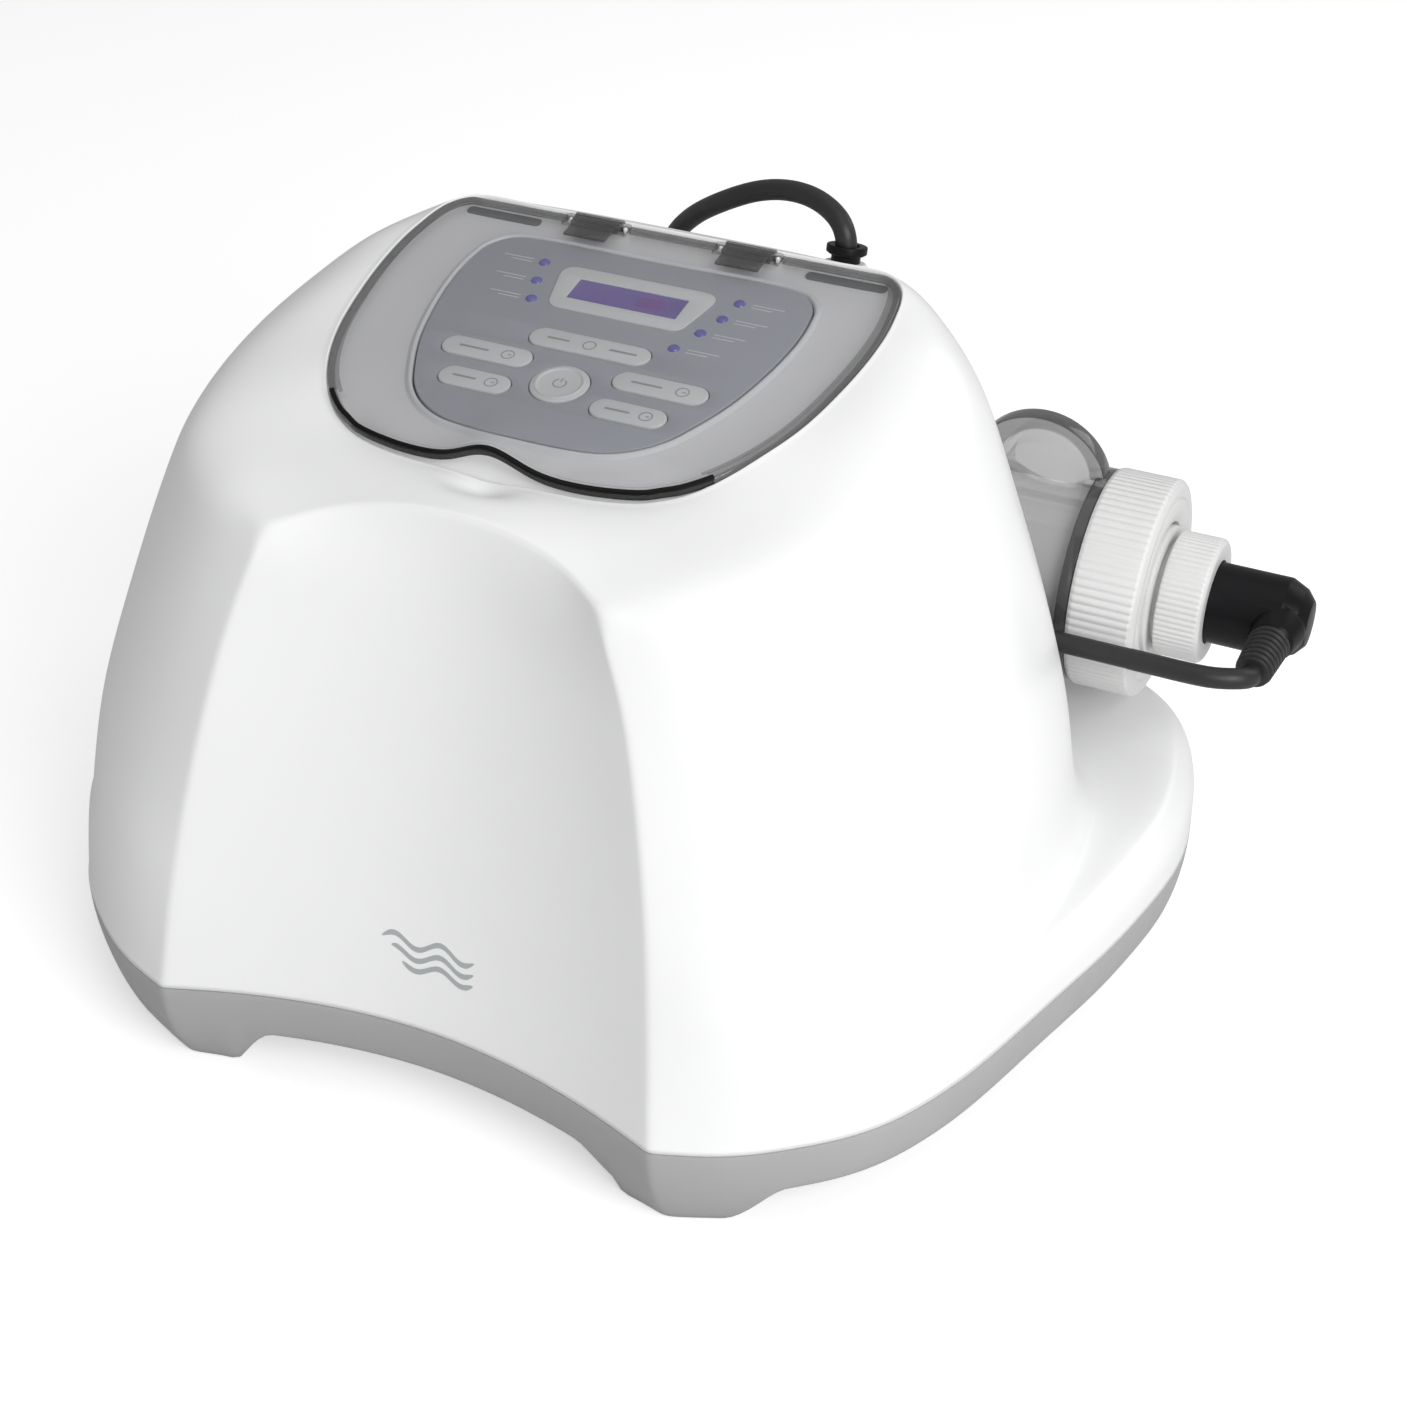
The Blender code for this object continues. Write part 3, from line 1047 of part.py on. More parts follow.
def make_transformer():
    """A standing core with two windows, and the coil round its middle limb."""
    windows = [rect(side * 0.021, 0.035, 0.014, 0.042) for side in (-1, 1)]
    core = flat("transformer_core", [rect(0, 0.035, 0.084, 0.070)] + windows,
                -0.0140, 0.0140, CORE)
    middle = Matrix.Translation((TRANSFORMER_X, TRANSFORMER_Y, TRANSFORMER_Z))
    core.matrix_world = middle @ STAND_UP
    flat("transformer_coil",
         [rect(TRANSFORMER_X, TRANSFORMER_Y, width, width) for width in (0.0552, 0.0288)],
         TRANSFORMER_Z + 0.0145, TRANSFORMER_Z + 0.0555, COPPER)


def make_heatsink():
    """A comb of fins, each as wide as the gaps between them."""
    fin_width = HEATSINK_W / (2 * FINS - 1)
    outline = [(-HEATSINK_W / 2, 0.0)]
    for i in range(FINS):
        left = -HEATSINK_W / 2 + 2 * i * fin_width
        outline += [(left, HEATSINK_H), (left + fin_width, HEATSINK_H)]
        if i < FINS - 1:
            outline += [(left + fin_width, HEATSINK_BASE), (left + 2 * fin_width, HEATSINK_BASE)]
    outline.append((HEATSINK_W / 2, 0.0))
    # Reversed, so that it runs anticlockwise like the other outlines.
    heatsink = flat("heatsink", [outline[::-1]], -0.0200, 0.0200, ALUMINIUM)
    middle = Matrix.Translation((BOARD_X + 0.020, BOARD_Y + 0.018, 0.0450))
    heatsink.matrix_world = middle @ STAND_UP


def make_main_board():
    box("main_board", (0.1120, 0.0920, 0.0016), BOARD, (BOARD_X, BOARD_Y, 0.0437))


def make_capacitors():
    profile = [(0, 0.0750), (0.0085, 0.0750), (0.0090, 0.0740), (0.0090, 0.0450), (0, 0.0450)]
    for name, offset_x in (("capacitor_1", -0.034), ("capacitor_2", -0.010)):
        turned(name, profile, SLEEVE, (BOARD_X + offset_x, BOARD_Y - 0.022, 0), segments=16)


def make_ribbon_cable():
    path = smooth_path(RIBBON_PATH, 3)
    sections = []
    for i, (_, y, z) in enumerate(path):
        along = path[min(i + 1, len(path) - 1)] - path[max(i - 1, 0)]
        along = along / np.linalg.norm(along)
        across_y = -along[2] * RIBBON_HALF_THICK
        across_z = along[1] * RIBBON_HALF_THICK
        sections.append([
            (RIBBON_X + side * RIBBON_HALF_W, y + face * across_y, z + face * across_z)
            for side, face in ((-1, -1), (1, -1), (1, 1), (-1, 1))])
    solid_loft("ribbon_cable", sections, PALE)


# ---------------------------------------------------------------- build
FOOTPRINT_SHIFT = (-0.0135, -0.0292, 0.0)     # brings the footprint's middle to the origin
SHARP_ANGLE = math.radians(35)


def build_enclosure():
    frame = empty("panel_frame", (0, PANEL_Y, PANEL_Z), (PANEL_TILT, 0, 0))
    make_upper_shell(frame)
    make_base_tray()
    make_base_screws()
    make_panel(frame)
    make_panel_gasket(frame)
    make_display(frame)
    make_control_board(frame)
    make_led_guide("led_guide_left", LEDS_LEFT, frame)
    make_led_guide("led_guide_right", LEDS_RIGHT, frame)
    make_keys(frame)
    make_power_key(frame)
    hinge = empty("lid_axis", (0, 0, HINGE_UP), parent=frame)
    make_lid(hinge)
    for side, tag in SIDES:
        make_hinge(side, tag, hinge, frame)
    make_lid_trim(hinge)


def build_cell():
    cell = cell_frame("cell_axis")
    make_cell_housing(cell)
    make_saddles()
    electrode = cell_frame("electrode_axis")
    make_electrode_cap(electrode)
    make_electrode(electrode)
    make_collar(cell_frame("collar_axis"))
    make_cell_plug(empty("connector_axis", (0, CELL_Y, CELL_Z)))
    make_plug_boot()
    make_cell_cable()
    make_sensor_body(cell)
    make_sensor_ring(cell)
    make_paddle()
    tube("sensor_cable", SENSOR_CABLE_PATH, SENSOR_CABLE_R)


def build_mains():
    make_cord_gland()
    tube("mains_cord", CORD_PATH, CORD_R)
    make_mains_plug()


def build_inside():
    make_transformer()
    make_main_board()
    make_heatsink()
    make_capacitors()
    make_ribbon_cable()


def finish():
    """Moves everything over the origin and shades the parts."""
    shift = Matrix.Translation(FOOTPRINT_SHIFT)
    bpy.context.view_layer.update()
    for obj in list(PARTS.objects) + list(CUTTERS.objects):
        if obj.parent is None:
            obj.matrix_world = shift @ obj.matrix_world
    bpy.context.view_layer.update()
    for obj in PARTS.objects:
        if obj.type == "MESH":
            obj.data.shade_smooth()
            obj.data.set_sharp_from_angle(angle=SHARP_ANGLE)


build_enclosure()
build_cell()
build_mains()
build_inside()
finish()
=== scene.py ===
"""Pool saltwater chlorinator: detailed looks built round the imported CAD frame.

Metres, Z up, front towards -Y.  A domed white shell stands on a grey base; its
control panel, under a smoked lid, slopes down to the front.  The cell lies
along X behind the dome, and the mains cord hangs down behind to its plug.
Pieces are built about their own origin and moved into the CAD frame at the end.
"""
import json
import math

import bmesh
import bpy
import numpy as np
from mathutils import Matrix, Vector

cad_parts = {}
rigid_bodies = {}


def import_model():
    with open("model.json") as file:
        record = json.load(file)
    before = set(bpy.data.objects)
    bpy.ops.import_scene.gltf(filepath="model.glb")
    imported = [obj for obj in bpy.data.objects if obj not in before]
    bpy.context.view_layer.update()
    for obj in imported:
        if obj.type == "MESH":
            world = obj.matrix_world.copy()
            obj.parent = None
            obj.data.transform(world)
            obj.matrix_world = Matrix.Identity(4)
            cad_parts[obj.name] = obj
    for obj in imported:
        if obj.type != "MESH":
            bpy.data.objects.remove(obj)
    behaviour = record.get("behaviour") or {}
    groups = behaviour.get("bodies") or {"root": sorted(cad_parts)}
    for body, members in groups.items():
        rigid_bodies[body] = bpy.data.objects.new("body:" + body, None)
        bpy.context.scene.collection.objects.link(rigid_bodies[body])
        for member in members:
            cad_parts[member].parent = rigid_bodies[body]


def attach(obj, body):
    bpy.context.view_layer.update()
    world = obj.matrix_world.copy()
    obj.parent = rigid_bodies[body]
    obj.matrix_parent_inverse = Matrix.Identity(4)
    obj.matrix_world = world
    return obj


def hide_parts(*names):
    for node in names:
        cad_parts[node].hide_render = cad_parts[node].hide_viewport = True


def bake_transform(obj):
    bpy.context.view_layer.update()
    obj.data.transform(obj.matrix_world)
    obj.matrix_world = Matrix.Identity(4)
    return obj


for old in list(bpy.data.objects):
    bpy.data.objects.remove(old, do_unlink=True)
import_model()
CAD_NODES = {o.name for o in bpy.data.objects}
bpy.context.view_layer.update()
SCENE = bpy.context.scene


def shift(x, y, z):
    return Matrix.Translation((x, y, z))


def turn(angle, axis):
    return Matrix.Rotation(angle, 4, axis)


# ---------------------------------------------------------------- driving dimensions
SEAM_Z, SEAM_GAP = 0.0424, 0.0006
BASE_BAND_Z = 0.0200                       # underside of the base between its feet
PANEL_Y, PANEL_Z = 0.0625, 0.2673          # a point on the panel plane, at the hinge
PANEL_TILT = math.radians(9.93)
TILT_COS = math.cos(PANEL_TILT)
# heights above the panel plane
TRAY_FLOOR, RIM_UP, LID_TOP, HINGE_UP = -0.0010, 0.0024, 0.0031, 0.0020
PILL_H, POWER_R = 0.0106, 0.0108           # key height, power key radius
CELL_Y, CELL_Z = 0.1225, 0.1278            # the cell's axis
CELL_SCALE = 0.93                          # applied across the axis only
CELL_R, CELL_BORE, CELL_END = 0.0410, 0.0374, 0.1755
PORT_X, PORT_Z = 0.1312, 0.1632
PORT_R, PORT_BORE, PORT_FRONT, PORT_BACK = 0.0190, 0.0160, 0.1236, 0.1450
NUT_R = 0.0480
PLUG_R, CABLE_R, CORD_R = 0.0163, 0.0041, 0.0041
CELL_GLAND = Vector((0.1480, 0.0672, 0.1285))
MAINS_GLAND = Vector((0.0611, 0.0822, 0.2556))
GLAND_X, CABLE_Y, CABLE_Z = CELL_GLAND
POSTS = [(0.0915, -0.1445), (-0.0915, -0.1445), (0.1850, 0.1200), (-0.1850, 0.1200)]
CAD_OFFSET = (-0.0135, -0.0292, 0.0)       # from this script's origin to the CAD's

# frames: local Z is the panel's normal, the cell's axis, or the axis named
ALONG_X = turn(math.pi / 2, "Y")
ALONG_Y = turn(-math.pi / 2, "X")
PANEL = shift(0, PANEL_Y, PANEL_Z) @ turn(PANEL_TILT, "X")
CELL_AXIS = shift(0, CELL_Y, CELL_Z) @ ALONG_X
CELL = CELL_AXIS @ Matrix.Diagonal((CELL_SCALE, CELL_SCALE, 1, 1))


# ---------------------------------------------------------------- materials
def new_material(name):
    material = bpy.data.materials.new(name)
    material.use_nodes = True
    material.use_transparent_shadow = True
    tree = material.node_tree
    return material, tree, tree.nodes["Principled BSDF"]


def set_inputs(node, inputs):
    """Links the sockets among the given inputs and stores the plain values."""
    for socket, value in inputs.items():
        if isinstance(value, bpy.types.NodeSocket):
            node.id_data.links.new(value, node.inputs[socket])
        else:
            node.inputs[socket].default_value = value


def add_node(tree, kind, inputs=None):
    node = tree.nodes.new(kind)
    set_inputs(node, inputs or {})
    return node


def noise(tree, scale, detail, stretch=None):
    coords = add_node(tree, "ShaderNodeTexCoord").outputs["Object"]
    if stretch:
        mapping = add_node(tree, "ShaderNodeMapping", {"Scale": stretch, "Vector": coords})
        coords = mapping.outputs["Vector"]
    inputs = {"Scale": scale, "Detail": detail, "Roughness": 0.55, "Vector": coords}
    return add_node(tree, "ShaderNodeTexNoise", inputs).outputs["Fac"]


def mix_color(tree, factor, a, b):
    mix = tree.nodes.new("ShaderNodeMix")
    mix.data_type = "RGBA"
    set_inputs(mix, {6: (*a, 1), 7: (*b, 1), 0: factor})
    return mix.outputs[2]


def map_range(tree, value, low, high, from_low=0.3, from_high=0.7):
    inputs = {"From Min": from_low, "From Max": from_high,
              "To Min": low, "To Max": high, "Value": value}
    return add_node(tree, "ShaderNodeMapRange", inputs).outputs["Result"]


def plastic(name, color, rough, tone_spread, rough_spread, grain, grain_scale, grain_depth,
            metal=0.0, coat=0.0, coat_rough=0.08, specular=0.5, stretch=None, glow=None):
    """Opaque surface: slight tone variation, uneven gloss and a fine grain."""
    material, tree, bsdf = new_material(name)
    dark = tuple(max(c * (1 - tone_spread), 0) for c in color)
    light = tuple(min(c * (1 + tone_spread), 1) for c in color)
    tone = map_range(tree, noise(tree, 28.0, 4.0, stretch), 0.0, 1.0)
    set_inputs(bsdf, {"Base Color": mix_color(tree, tone, dark, light)})
    gloss = map_range(tree, noise(tree, 90.0, 4.0),
                      max(rough - rough_spread, 0.02), rough + rough_spread)
    set_inputs(bsdf, {"Roughness": gloss, "Metallic": metal, "Specular IOR Level": specular,
                      "Coat Weight": coat, "Coat Roughness": coat_rough})
    if glow:
        set_inputs(bsdf, {"Emission Color": (*glow[:3], 1), "Emission Strength": glow[3]})
    bump = add_node(tree, "ShaderNodeBump", {"Strength": grain, "Distance": grain_depth})
    set_inputs(bump, {"Height": noise(tree, grain_scale, 2.0, stretch)})
    set_inputs(bsdf, {"Normal": bump.outputs["Normal"]})
    material.diffuse_color = (*color, 1)
    return material


def smoked(name, tint, body, cover, rough, edge_cover):
    """Thin clear plastic: what lies behind shows through a tint, more densely
    at glancing angles, under a glossy skin with faint flow marks."""
    material, tree, bsdf = new_material(name)
    clear = add_node(tree, "ShaderNodeBsdfTransparent")
    darker = tuple(c * 0.985 for c in tint)
    set_inputs(clear, {"Color": mix_color(tree, noise(tree, 22.0, 3.0), darker, tint)})
    gloss = map_range(tree, noise(tree, 140.0, 3.0), rough * 0.6, rough * 1.6)
    set_inputs(bsdf, {"Base Color": (*body, 1), "IOR": 1.45, "Roughness": gloss})
    facing = add_node(tree, "ShaderNodeLayerWeight", {"Blend": 0.35}).outputs["Facing"]
    density = map_range(tree, facing, cover, edge_cover, 0.2, 1.0)
    tinted = add_node(tree, "ShaderNodeMixShader",
                      {"Fac": density, 1: clear.outputs[0], 2: bsdf.outputs[0]})
    # a mirror-like skin over both, on outer sides only
    mirror = add_node(tree, "ShaderNodeBsdfGlossy", {"Roughness": rough})
    fresnel = add_node(tree, "ShaderNodeFresnel", {"IOR": 1.38})
    skin_mix = add_node(tree, "ShaderNodeMixShader")
    geometry = add_node(tree, "ShaderNodeNewGeometry")
    outer = add_node(tree, "ShaderNodeMath", {0: 1.0, 1: geometry.outputs["Backfacing"]})
    outer.operation = "SUBTRACT"
    outer_only = add_node(tree, "ShaderNodeMath", {0: fresnel.outputs[0], 1: outer.outputs[0]})
    outer_only.operation = "MULTIPLY"
    set_inputs(skin_mix, {"Fac": outer_only.outputs[0], 1: tinted.outputs[0],
                          2: mirror.outputs[0]})
    set_inputs(tree.nodes["Material Output"], {"Surface": skin_mix.outputs[0]})
    bump = add_node(tree, "ShaderNodeBump", {"Strength": 0.05, "Distance": 0.0001})
    set_inputs(bump, {"Height": noise(tree, 60.0, 2.0)})
    for shader in (bsdf, mirror):
        set_inputs(shader, {"Normal": bump.outputs["Normal"]})
    material.diffuse_color = (*body, 0.5)
    return material


# key, name, colour, roughness, tone spread, roughness spread,
# grain strength, grain scale, grain depth, extras (glow is red, green, blue, strength)
PLASTICS = [
    ("shell", "shell_gloss_white", (0.86, 0.862, 0.865), 0.34, 0.004, 0.03, 0.02, 260.0, 0.00002,
     dict(coat=0.15, coat_rough=0.16)),
    ("base", "base_satin_grey", (0.385, 0.385, 0.388), 0.46, 0.02, 0.05, 0.35, 2600.0, 0.00006,
     dict(specular=0.4)),
    ("overlay", "overlay_grey_blue", (0.445, 0.46, 0.505), 0.42, 0.015, 0.05, 0.5, 3200.0,
     0.00004, {}),
    ("key", "key_pale", (0.80, 0.82, 0.81), 0.40, 0.015, 0.05, 0.4, 3000.0, 0.00004, {}),
    ("mark", "print_grey", (0.40, 0.42, 0.43), 0.5, 0.04, 0.05, 0.2, 3000.0, 0.00002, {}),
    ("pale", "bead_pale", (0.80, 0.81, 0.82), 0.35, 0.01, 0.04, 0.1, 1500.0, 0.00004, {}),
    ("lcd", "lcd_violet", (0.16, 0.11, 0.34), 0.18, 0.12, 0.04, 0.05, 1500.0, 0.00002,
     dict(coat=0.6, glow=(0.22, 0.14, 0.52, 0.14))),
    ("lcd_warm", "lcd_red_patch", (0.26, 0.08, 0.28), 0.2, 0.10, 0.04, 0.05, 1500.0, 0.00002,
     dict(coat=0.6)),
    ("lcd_patch", "lcd_patch", (0.19, 0.085, 0.31), 0.2, 0.10, 0.04, 0.05, 1500.0, 0.00002,
     dict(coat=0.5, glow=(0.30, 0.12, 0.48, 0.12))),
    ("led", "led_violet", (0.14, 0.12, 0.42), 0.25, 0.06, 0.05, 0.1, 1500.0, 0.00003,
     dict(coat=0.4, glow=(0.15, 0.12, 0.60, 0.08))),
    ("nut", "nut_white", (0.70, 0.70, 0.695), 0.42, 0.01, 0.06, 0.3, 1800.0, 0.00006, {}),
    ("black", "plug_black", (0.006, 0.006, 0.007), 0.38, 0.12, 0.06, 0.2, 2200.0, 0.00005,
     dict(specular=0.14)),
    # painted shadow: dark grey for the plates that stand in for the shade under the lid's rear
    # corners
    ("slot", "slot_dark", (0.16, 0.165, 0.17), 0.6, 0.08, 0.05, 0.2, 1500.0, 0.00004, {}),
    ("trim", "trim_gloss_black", (0.003, 0.003, 0.003), 0.22, 0.1, 0.02, 0.02, 600.0, 0.00001,
     dict(specular=0.14)),
    ("rubber", "cord_rubber", (0.020, 0.020, 0.021), 0.45, 0.14, 0.06, 0.4, 2600.0, 0.00006,
     dict(specular=0.4)),
    ("seal", "seal_rubber", (0.02, 0.02, 0.02), 0.7, 0.1, 0.05, 0.6, 2000.0, 0.00008, {}),
    ("steel", "steel_screw", (0.58, 0.58, 0.57), 0.28, 0.05, 0.08, 0.4, 3000.0, 0.00003,
     dict(metal=1.0, stretch=(1, 1, 14))),
    ("titan", "titanium_plate", (0.62, 0.61, 0.60), 0.50, 0.06, 0.08, 0.5, 2400.0, 0.00004,
     dict(metal=0.45, stretch=(1, 8, 8))),
    ("gold", "contact_gold", (0.80, 0.62, 0.28), 0.22, 0.05, 0.05, 0.2, 2400.0, 0.00002,
     dict(metal=1.0)),
    ("alu", "heatsink_alu", (0.70, 0.70, 0.71), 0.35, 0.05, 0.08, 0.5, 2400.0, 0.00004,
     dict(metal=1.0, stretch=(1, 12, 1))),
    ("board", "board_green", (0.02, 0.13, 0.055), 0.42, 0.25, 0.06, 0.4, 900.0, 0.00008,
     dict(coat=0.3)),
    ("tape", "coil_tape", (0.60, 0.42, 0.10), 0.4, 0.10, 0.08, 0.5, 700.0, 0.00010,
     dict(stretch=(1, 1, 20))),
    ("core", "core_lamination", (0.10, 0.10, 0.11), 0.45, 0.20, 0.08, 0.8, 1500.0, 0.00012,
     dict(metal=0.6, stretch=(1, 60, 1))),
    ("sleeve", "capacitor_sleeve", (0.04, 0.05, 0.12), 0.3, 0.08, 0.05, 0.2, 1500.0, 0.00004,
     dict(coat=0.3)),
    ("ribbon", "ribbon_grey", (0.42, 0.43, 0.44), 0.45, 0.06, 0.05, 0.8, 1200.0, 0.00010,
     dict(stretch=(8, 1, 1))),
    ("guide", "light_guide", (0.30, 0.27, 0.58), 0.2, 0.05, 0.05, 0.1, 1500.0, 0.00003, {}),
]
# key, name, tint, body colour, cover face on, roughness, cover at the edge
SMOKED = [
    ("lid", "lid_smoke", (0.895, 0.895, 0.90), (0.34, 0.345, 0.35), 0.035, 0.05, 0.16),
    ("lid_skirt", "lid_skirt_smoke", (0.64, 0.64, 0.64), (0.20, 0.20, 0.20), 0.12, 0.06, 0.40),
    ("lid_edge", "lid_edge_smoke", (0.66, 0.66, 0.66), (0.14, 0.14, 0.14), 0.16, 0.06, 0.50),
    ("clip", "clip_smoke", (0.62, 0.61, 0.61), (0.14, 0.14, 0.14), 0.20, 0.07, 0.45),
    ("cell", "cell_smoke", (0.88, 0.88, 0.88), (0.70, 0.70, 0.70), 0.42, 0.06, 0.62),
    ("cell_edge", "cell_edge_smoke", (0.32, 0.32, 0.32), (0.09, 0.09, 0.09), 0.55, 0.08, 0.80),
    ("port", "port_smoke", (0.62, 0.62, 0.62), (0.42, 0.42, 0.42), 0.50, 0.06, 0.66),
    ("clear", "port_clear", (0.95, 0.95, 0.95), (0.62, 0.62, 0.62), 0.06, 0.05, 0.30),
    ("window", "window_violet", (0.78, 0.74, 0.90), (0.14, 0.10, 0.30), 0.12, 0.04, 0.4),
]
MAT = {key: plastic(*values, **extras) for key, *values, extras in PLASTICS}
MAT.update({key: smoked(*values) for key, *values in SMOKED})


# ---------------------------------------------------------------- mesh helpers
REPLACED = set()


def install(piece, body="root", part=None):
    """Tells the frame what a piece rides on and the CAD part it replaces."""
    if body:
        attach(piece, body)
    if part:
        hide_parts(part)
        REPLACED.add(part)


def shade(o, sharp):
    """Smooth shading, with edges sharper than this many degrees kept crisp."""
    o.data.shade_smooth()
    if sharp < 180:
        o.data.set_sharp_from_angle(angle=math.radians(sharp))


def link_mesh(name, mesh, mats=(), sharp=None):
    for mat in mats:
        mesh.materials.append(mat)
    o = bpy.data.objects.new(name, mesh)
    SCENE.collection.objects.link(o)
    if sharp is not None:
        shade(o, sharp)
    return o


def bmesh_to_mesh(bm, mesh):
    bm.to_mesh(mesh)
    bm.free()
    return mesh


def add(name, verts, faces, mats, sharp=40.0):
    mesh = bpy.data.meshes.new(name)
    mesh.from_pydata([tuple(map(float, v)) for v in verts], [], faces)
    mesh.update()
    bm = bmesh.new()
    bm.from_mesh(mesh)
    bmesh.ops.remove_doubles(bm, verts=bm.verts, dist=0.0000008)
    return link_mesh(name, bmesh_to_mesh(bm, mesh), mats, sharp)


def outward(o):
    bm = bmesh.new()
    bm.from_mesh(o.data)
    bmesh.ops.recalc_face_normals(bm, faces=bm.faces)
    bmesh_to_mesh(bm, o.data)


def skin(rows, capped=False):
    """Vertices and quads over a stack of closed rows, with end caps if asked."""
    n = len(rows[0])
    faces = []
    for a in range(0, (len(rows) - 1) * n, n):
        for i in range(n):
            j = (i + 1) % n
            faces.append((a + i, a + j, a + n + j, a + n + i))
    if capped:
        faces.append(tuple(range(n))[::-1])
        faces.append(tuple((len(rows) - 1) * n + i for i in range(n)))
    return np.vstack([np.asarray(r, float) for r in rows]), faces


def fillet(points, radius, steps, closed=True):
    """Rounds a polyline's corners; a point's third value is its own radius."""
    xy = [np.array(p[:2], float) for p in points]
    out = []
    for i, corner in enumerate(xy):
        r = points[i][2] if len(points[i]) > 2 else radius
        back, ahead = xy[i - 1] - corner, xy[(i + 1) % len(xy)] - corner
        back_len, ahead_len = np.linalg.norm(back), np.linalg.norm(ahead)
        open_end = not closed and i in (0, len(xy) - 1)
        if open_end or r <= 0 or back_len < 1e-9 or ahead_len < 1e-9:
            out.append(corner)
            continue
        back, ahead = back / back_len, ahead / ahead_len
        angle = math.acos(float(np.clip(back @ ahead, -1, 1)))
        if angle > math.radians(172):
            out.append(corner)
            continue
        trim = min(r / math.tan(angle / 2), back_len * 0.45, ahead_len * 0.45)
        start, end = corner + back * trim, corner + ahead * trim
        for k in range(steps + 1):
            f = k / steps
            out.append((1 - f) ** 2 * start + 2 * f * (1 - f) * corner + f * f * end)
    return out


def lathe(name, profile, mat, place, segments, corner=0.0004, steps=2, ripple=None):
    """Turns a profile of (radius, height[, corner radius]) about local Z.  A
    profile that starts and ends on the axis is solid; any other is a ring."""
    solid = profile[0][0] == 0 and profile[-1][0] == 0
    points = fillet(profile, corner, steps, closed=not solid)
    count = len(points)
    verts, faces, starts = [], [], []
    for k, (radius, height) in enumerate(points):
        starts.append(len(verts))
        if solid and k in (0, count - 1):
            verts.append((0, 0, height))
            continue
        for i in range(segments):
            angle = 2 * math.pi * i / segments
            r = radius + (ripple(radius, height, angle) if ripple else 0.0)
            verts.append((r * math.cos(angle), r * math.sin(angle), height))
    for k in range(count - 1 if solid else count):
        a, b = starts[k], starts[(k + 1) % count]
        for i in range(segments):
            j = (i + 1) % segments
            if solid and k == 0:
                faces.append((a, b + i, b + j))
            elif solid and k == count - 2:
                faces.append((a + j, a + i, b))
            else:
                faces.append((a + j, a + i, b + i, b + j))
    o = add(name, [place @ Vector(v) for v in verts], faces, [mat], 50)
    outward(o)
    return o


def rod(name, radius, z0, z1, mat, place, segments, corner=0.0):
    profile = [(0, z0), (radius, z0), (radius, z1), (0, z1)]
    return lathe(name, profile, mat, place, segments, corner)


def spline(points, params):
    """Centripetal Catmull-Rom curve; its parameter counts the points passed."""
    P = np.asarray(points, float)
    n = len(P)
    out = []
    for s in params:
        i = min(int(math.floor(s)), n - 2)
        p1, p2 = P[i], P[i + 1]
        p0 = P[i - 1] if i > 0 else 2 * p1 - p2
        p3 = P[i + 2] if i + 2 < n else 2 * p2 - p1
        d0, d1, d2 = (max(np.linalg.norm(b - a), 1e-6) ** 0.5
                      for a, b in ((p0, p1), (p1, p2), (p2, p3)))
        t0, t1, t2, t3 = 0.0, d0, d0 + d1, d0 + d1 + d2
        t = t1 + (s - i) * d1
        a1 = (t1 - t) / d0 * p0 + (t - t0) / d0 * p1
        a2 = (t2 - t) / d1 * p1 + (t - t1) / d1 * p2
        a3 = (t3 - t) / d2 * p2 + (t - t2) / d2 * p3
        b1 = (t2 - t) / (t2 - t0) * a1 + (t - t0) / (t2 - t0) * a2
        b2 = (t3 - t) / (t3 - t1) * a2 + (t - t1) / (t3 - t1) * a3
        out.append((t2 - t) / d1 * b1 + (t - t1) / d1 * b2)
    return np.array(out)


def cable_path(points, per_span, rounds, step):
    """A smooth curve through points, relaxed some rounds, at an even step."""
    P = spline(points, np.linspace(0, len(points) - 1, (len(points) - 1) * per_span + 1))
    for _ in range(rounds):
        P[1:-1] += 0.5 * ((P[:-2] + P[2:]) / 2 - P[1:-1])
    length = np.concatenate([[0], np.cumsum(np.linalg.norm(np.diff(P, axis=0), axis=1))])
    n = max(int(round(length[-1] / step)), 2)
    even = np.linspace(0, length[-1], n + 1)
    return np.column_stack([np.interp(even, length, P[:, k]) for k in range(3)])


def pipe(name, path, radius, mat, segments):
    """Sweeps a circle along a path with frames carried without twist."""
    tangents = np.gradient(path, axis=0)
    tangents /= np.linalg.norm(tangents, axis=1)[:, None]
    up = np.array([0.0, 0.0, 1.0] if abs(tangents[0][2]) < 0.9 else [1.0, 0.0, 0.0])
    normal = np.cross(tangents[0], up)
    normal /= np.linalg.norm(normal)
    rows = []
    for point, tangent in zip(path, tangents):
        normal = normal - (normal @ tangent) * tangent
        normal /= np.linalg.norm(normal)
        side = np.cross(tangent, normal)
        angles = [2 * math.pi * k / segments for k in range(segments)]
        rows.append([point + radius * (math.cos(a) * normal + math.sin(a) * side)
                     for a in angles])
    o = add(name, *skin(rows, capped=True), [mat], 60)
    outward(o)
    return o


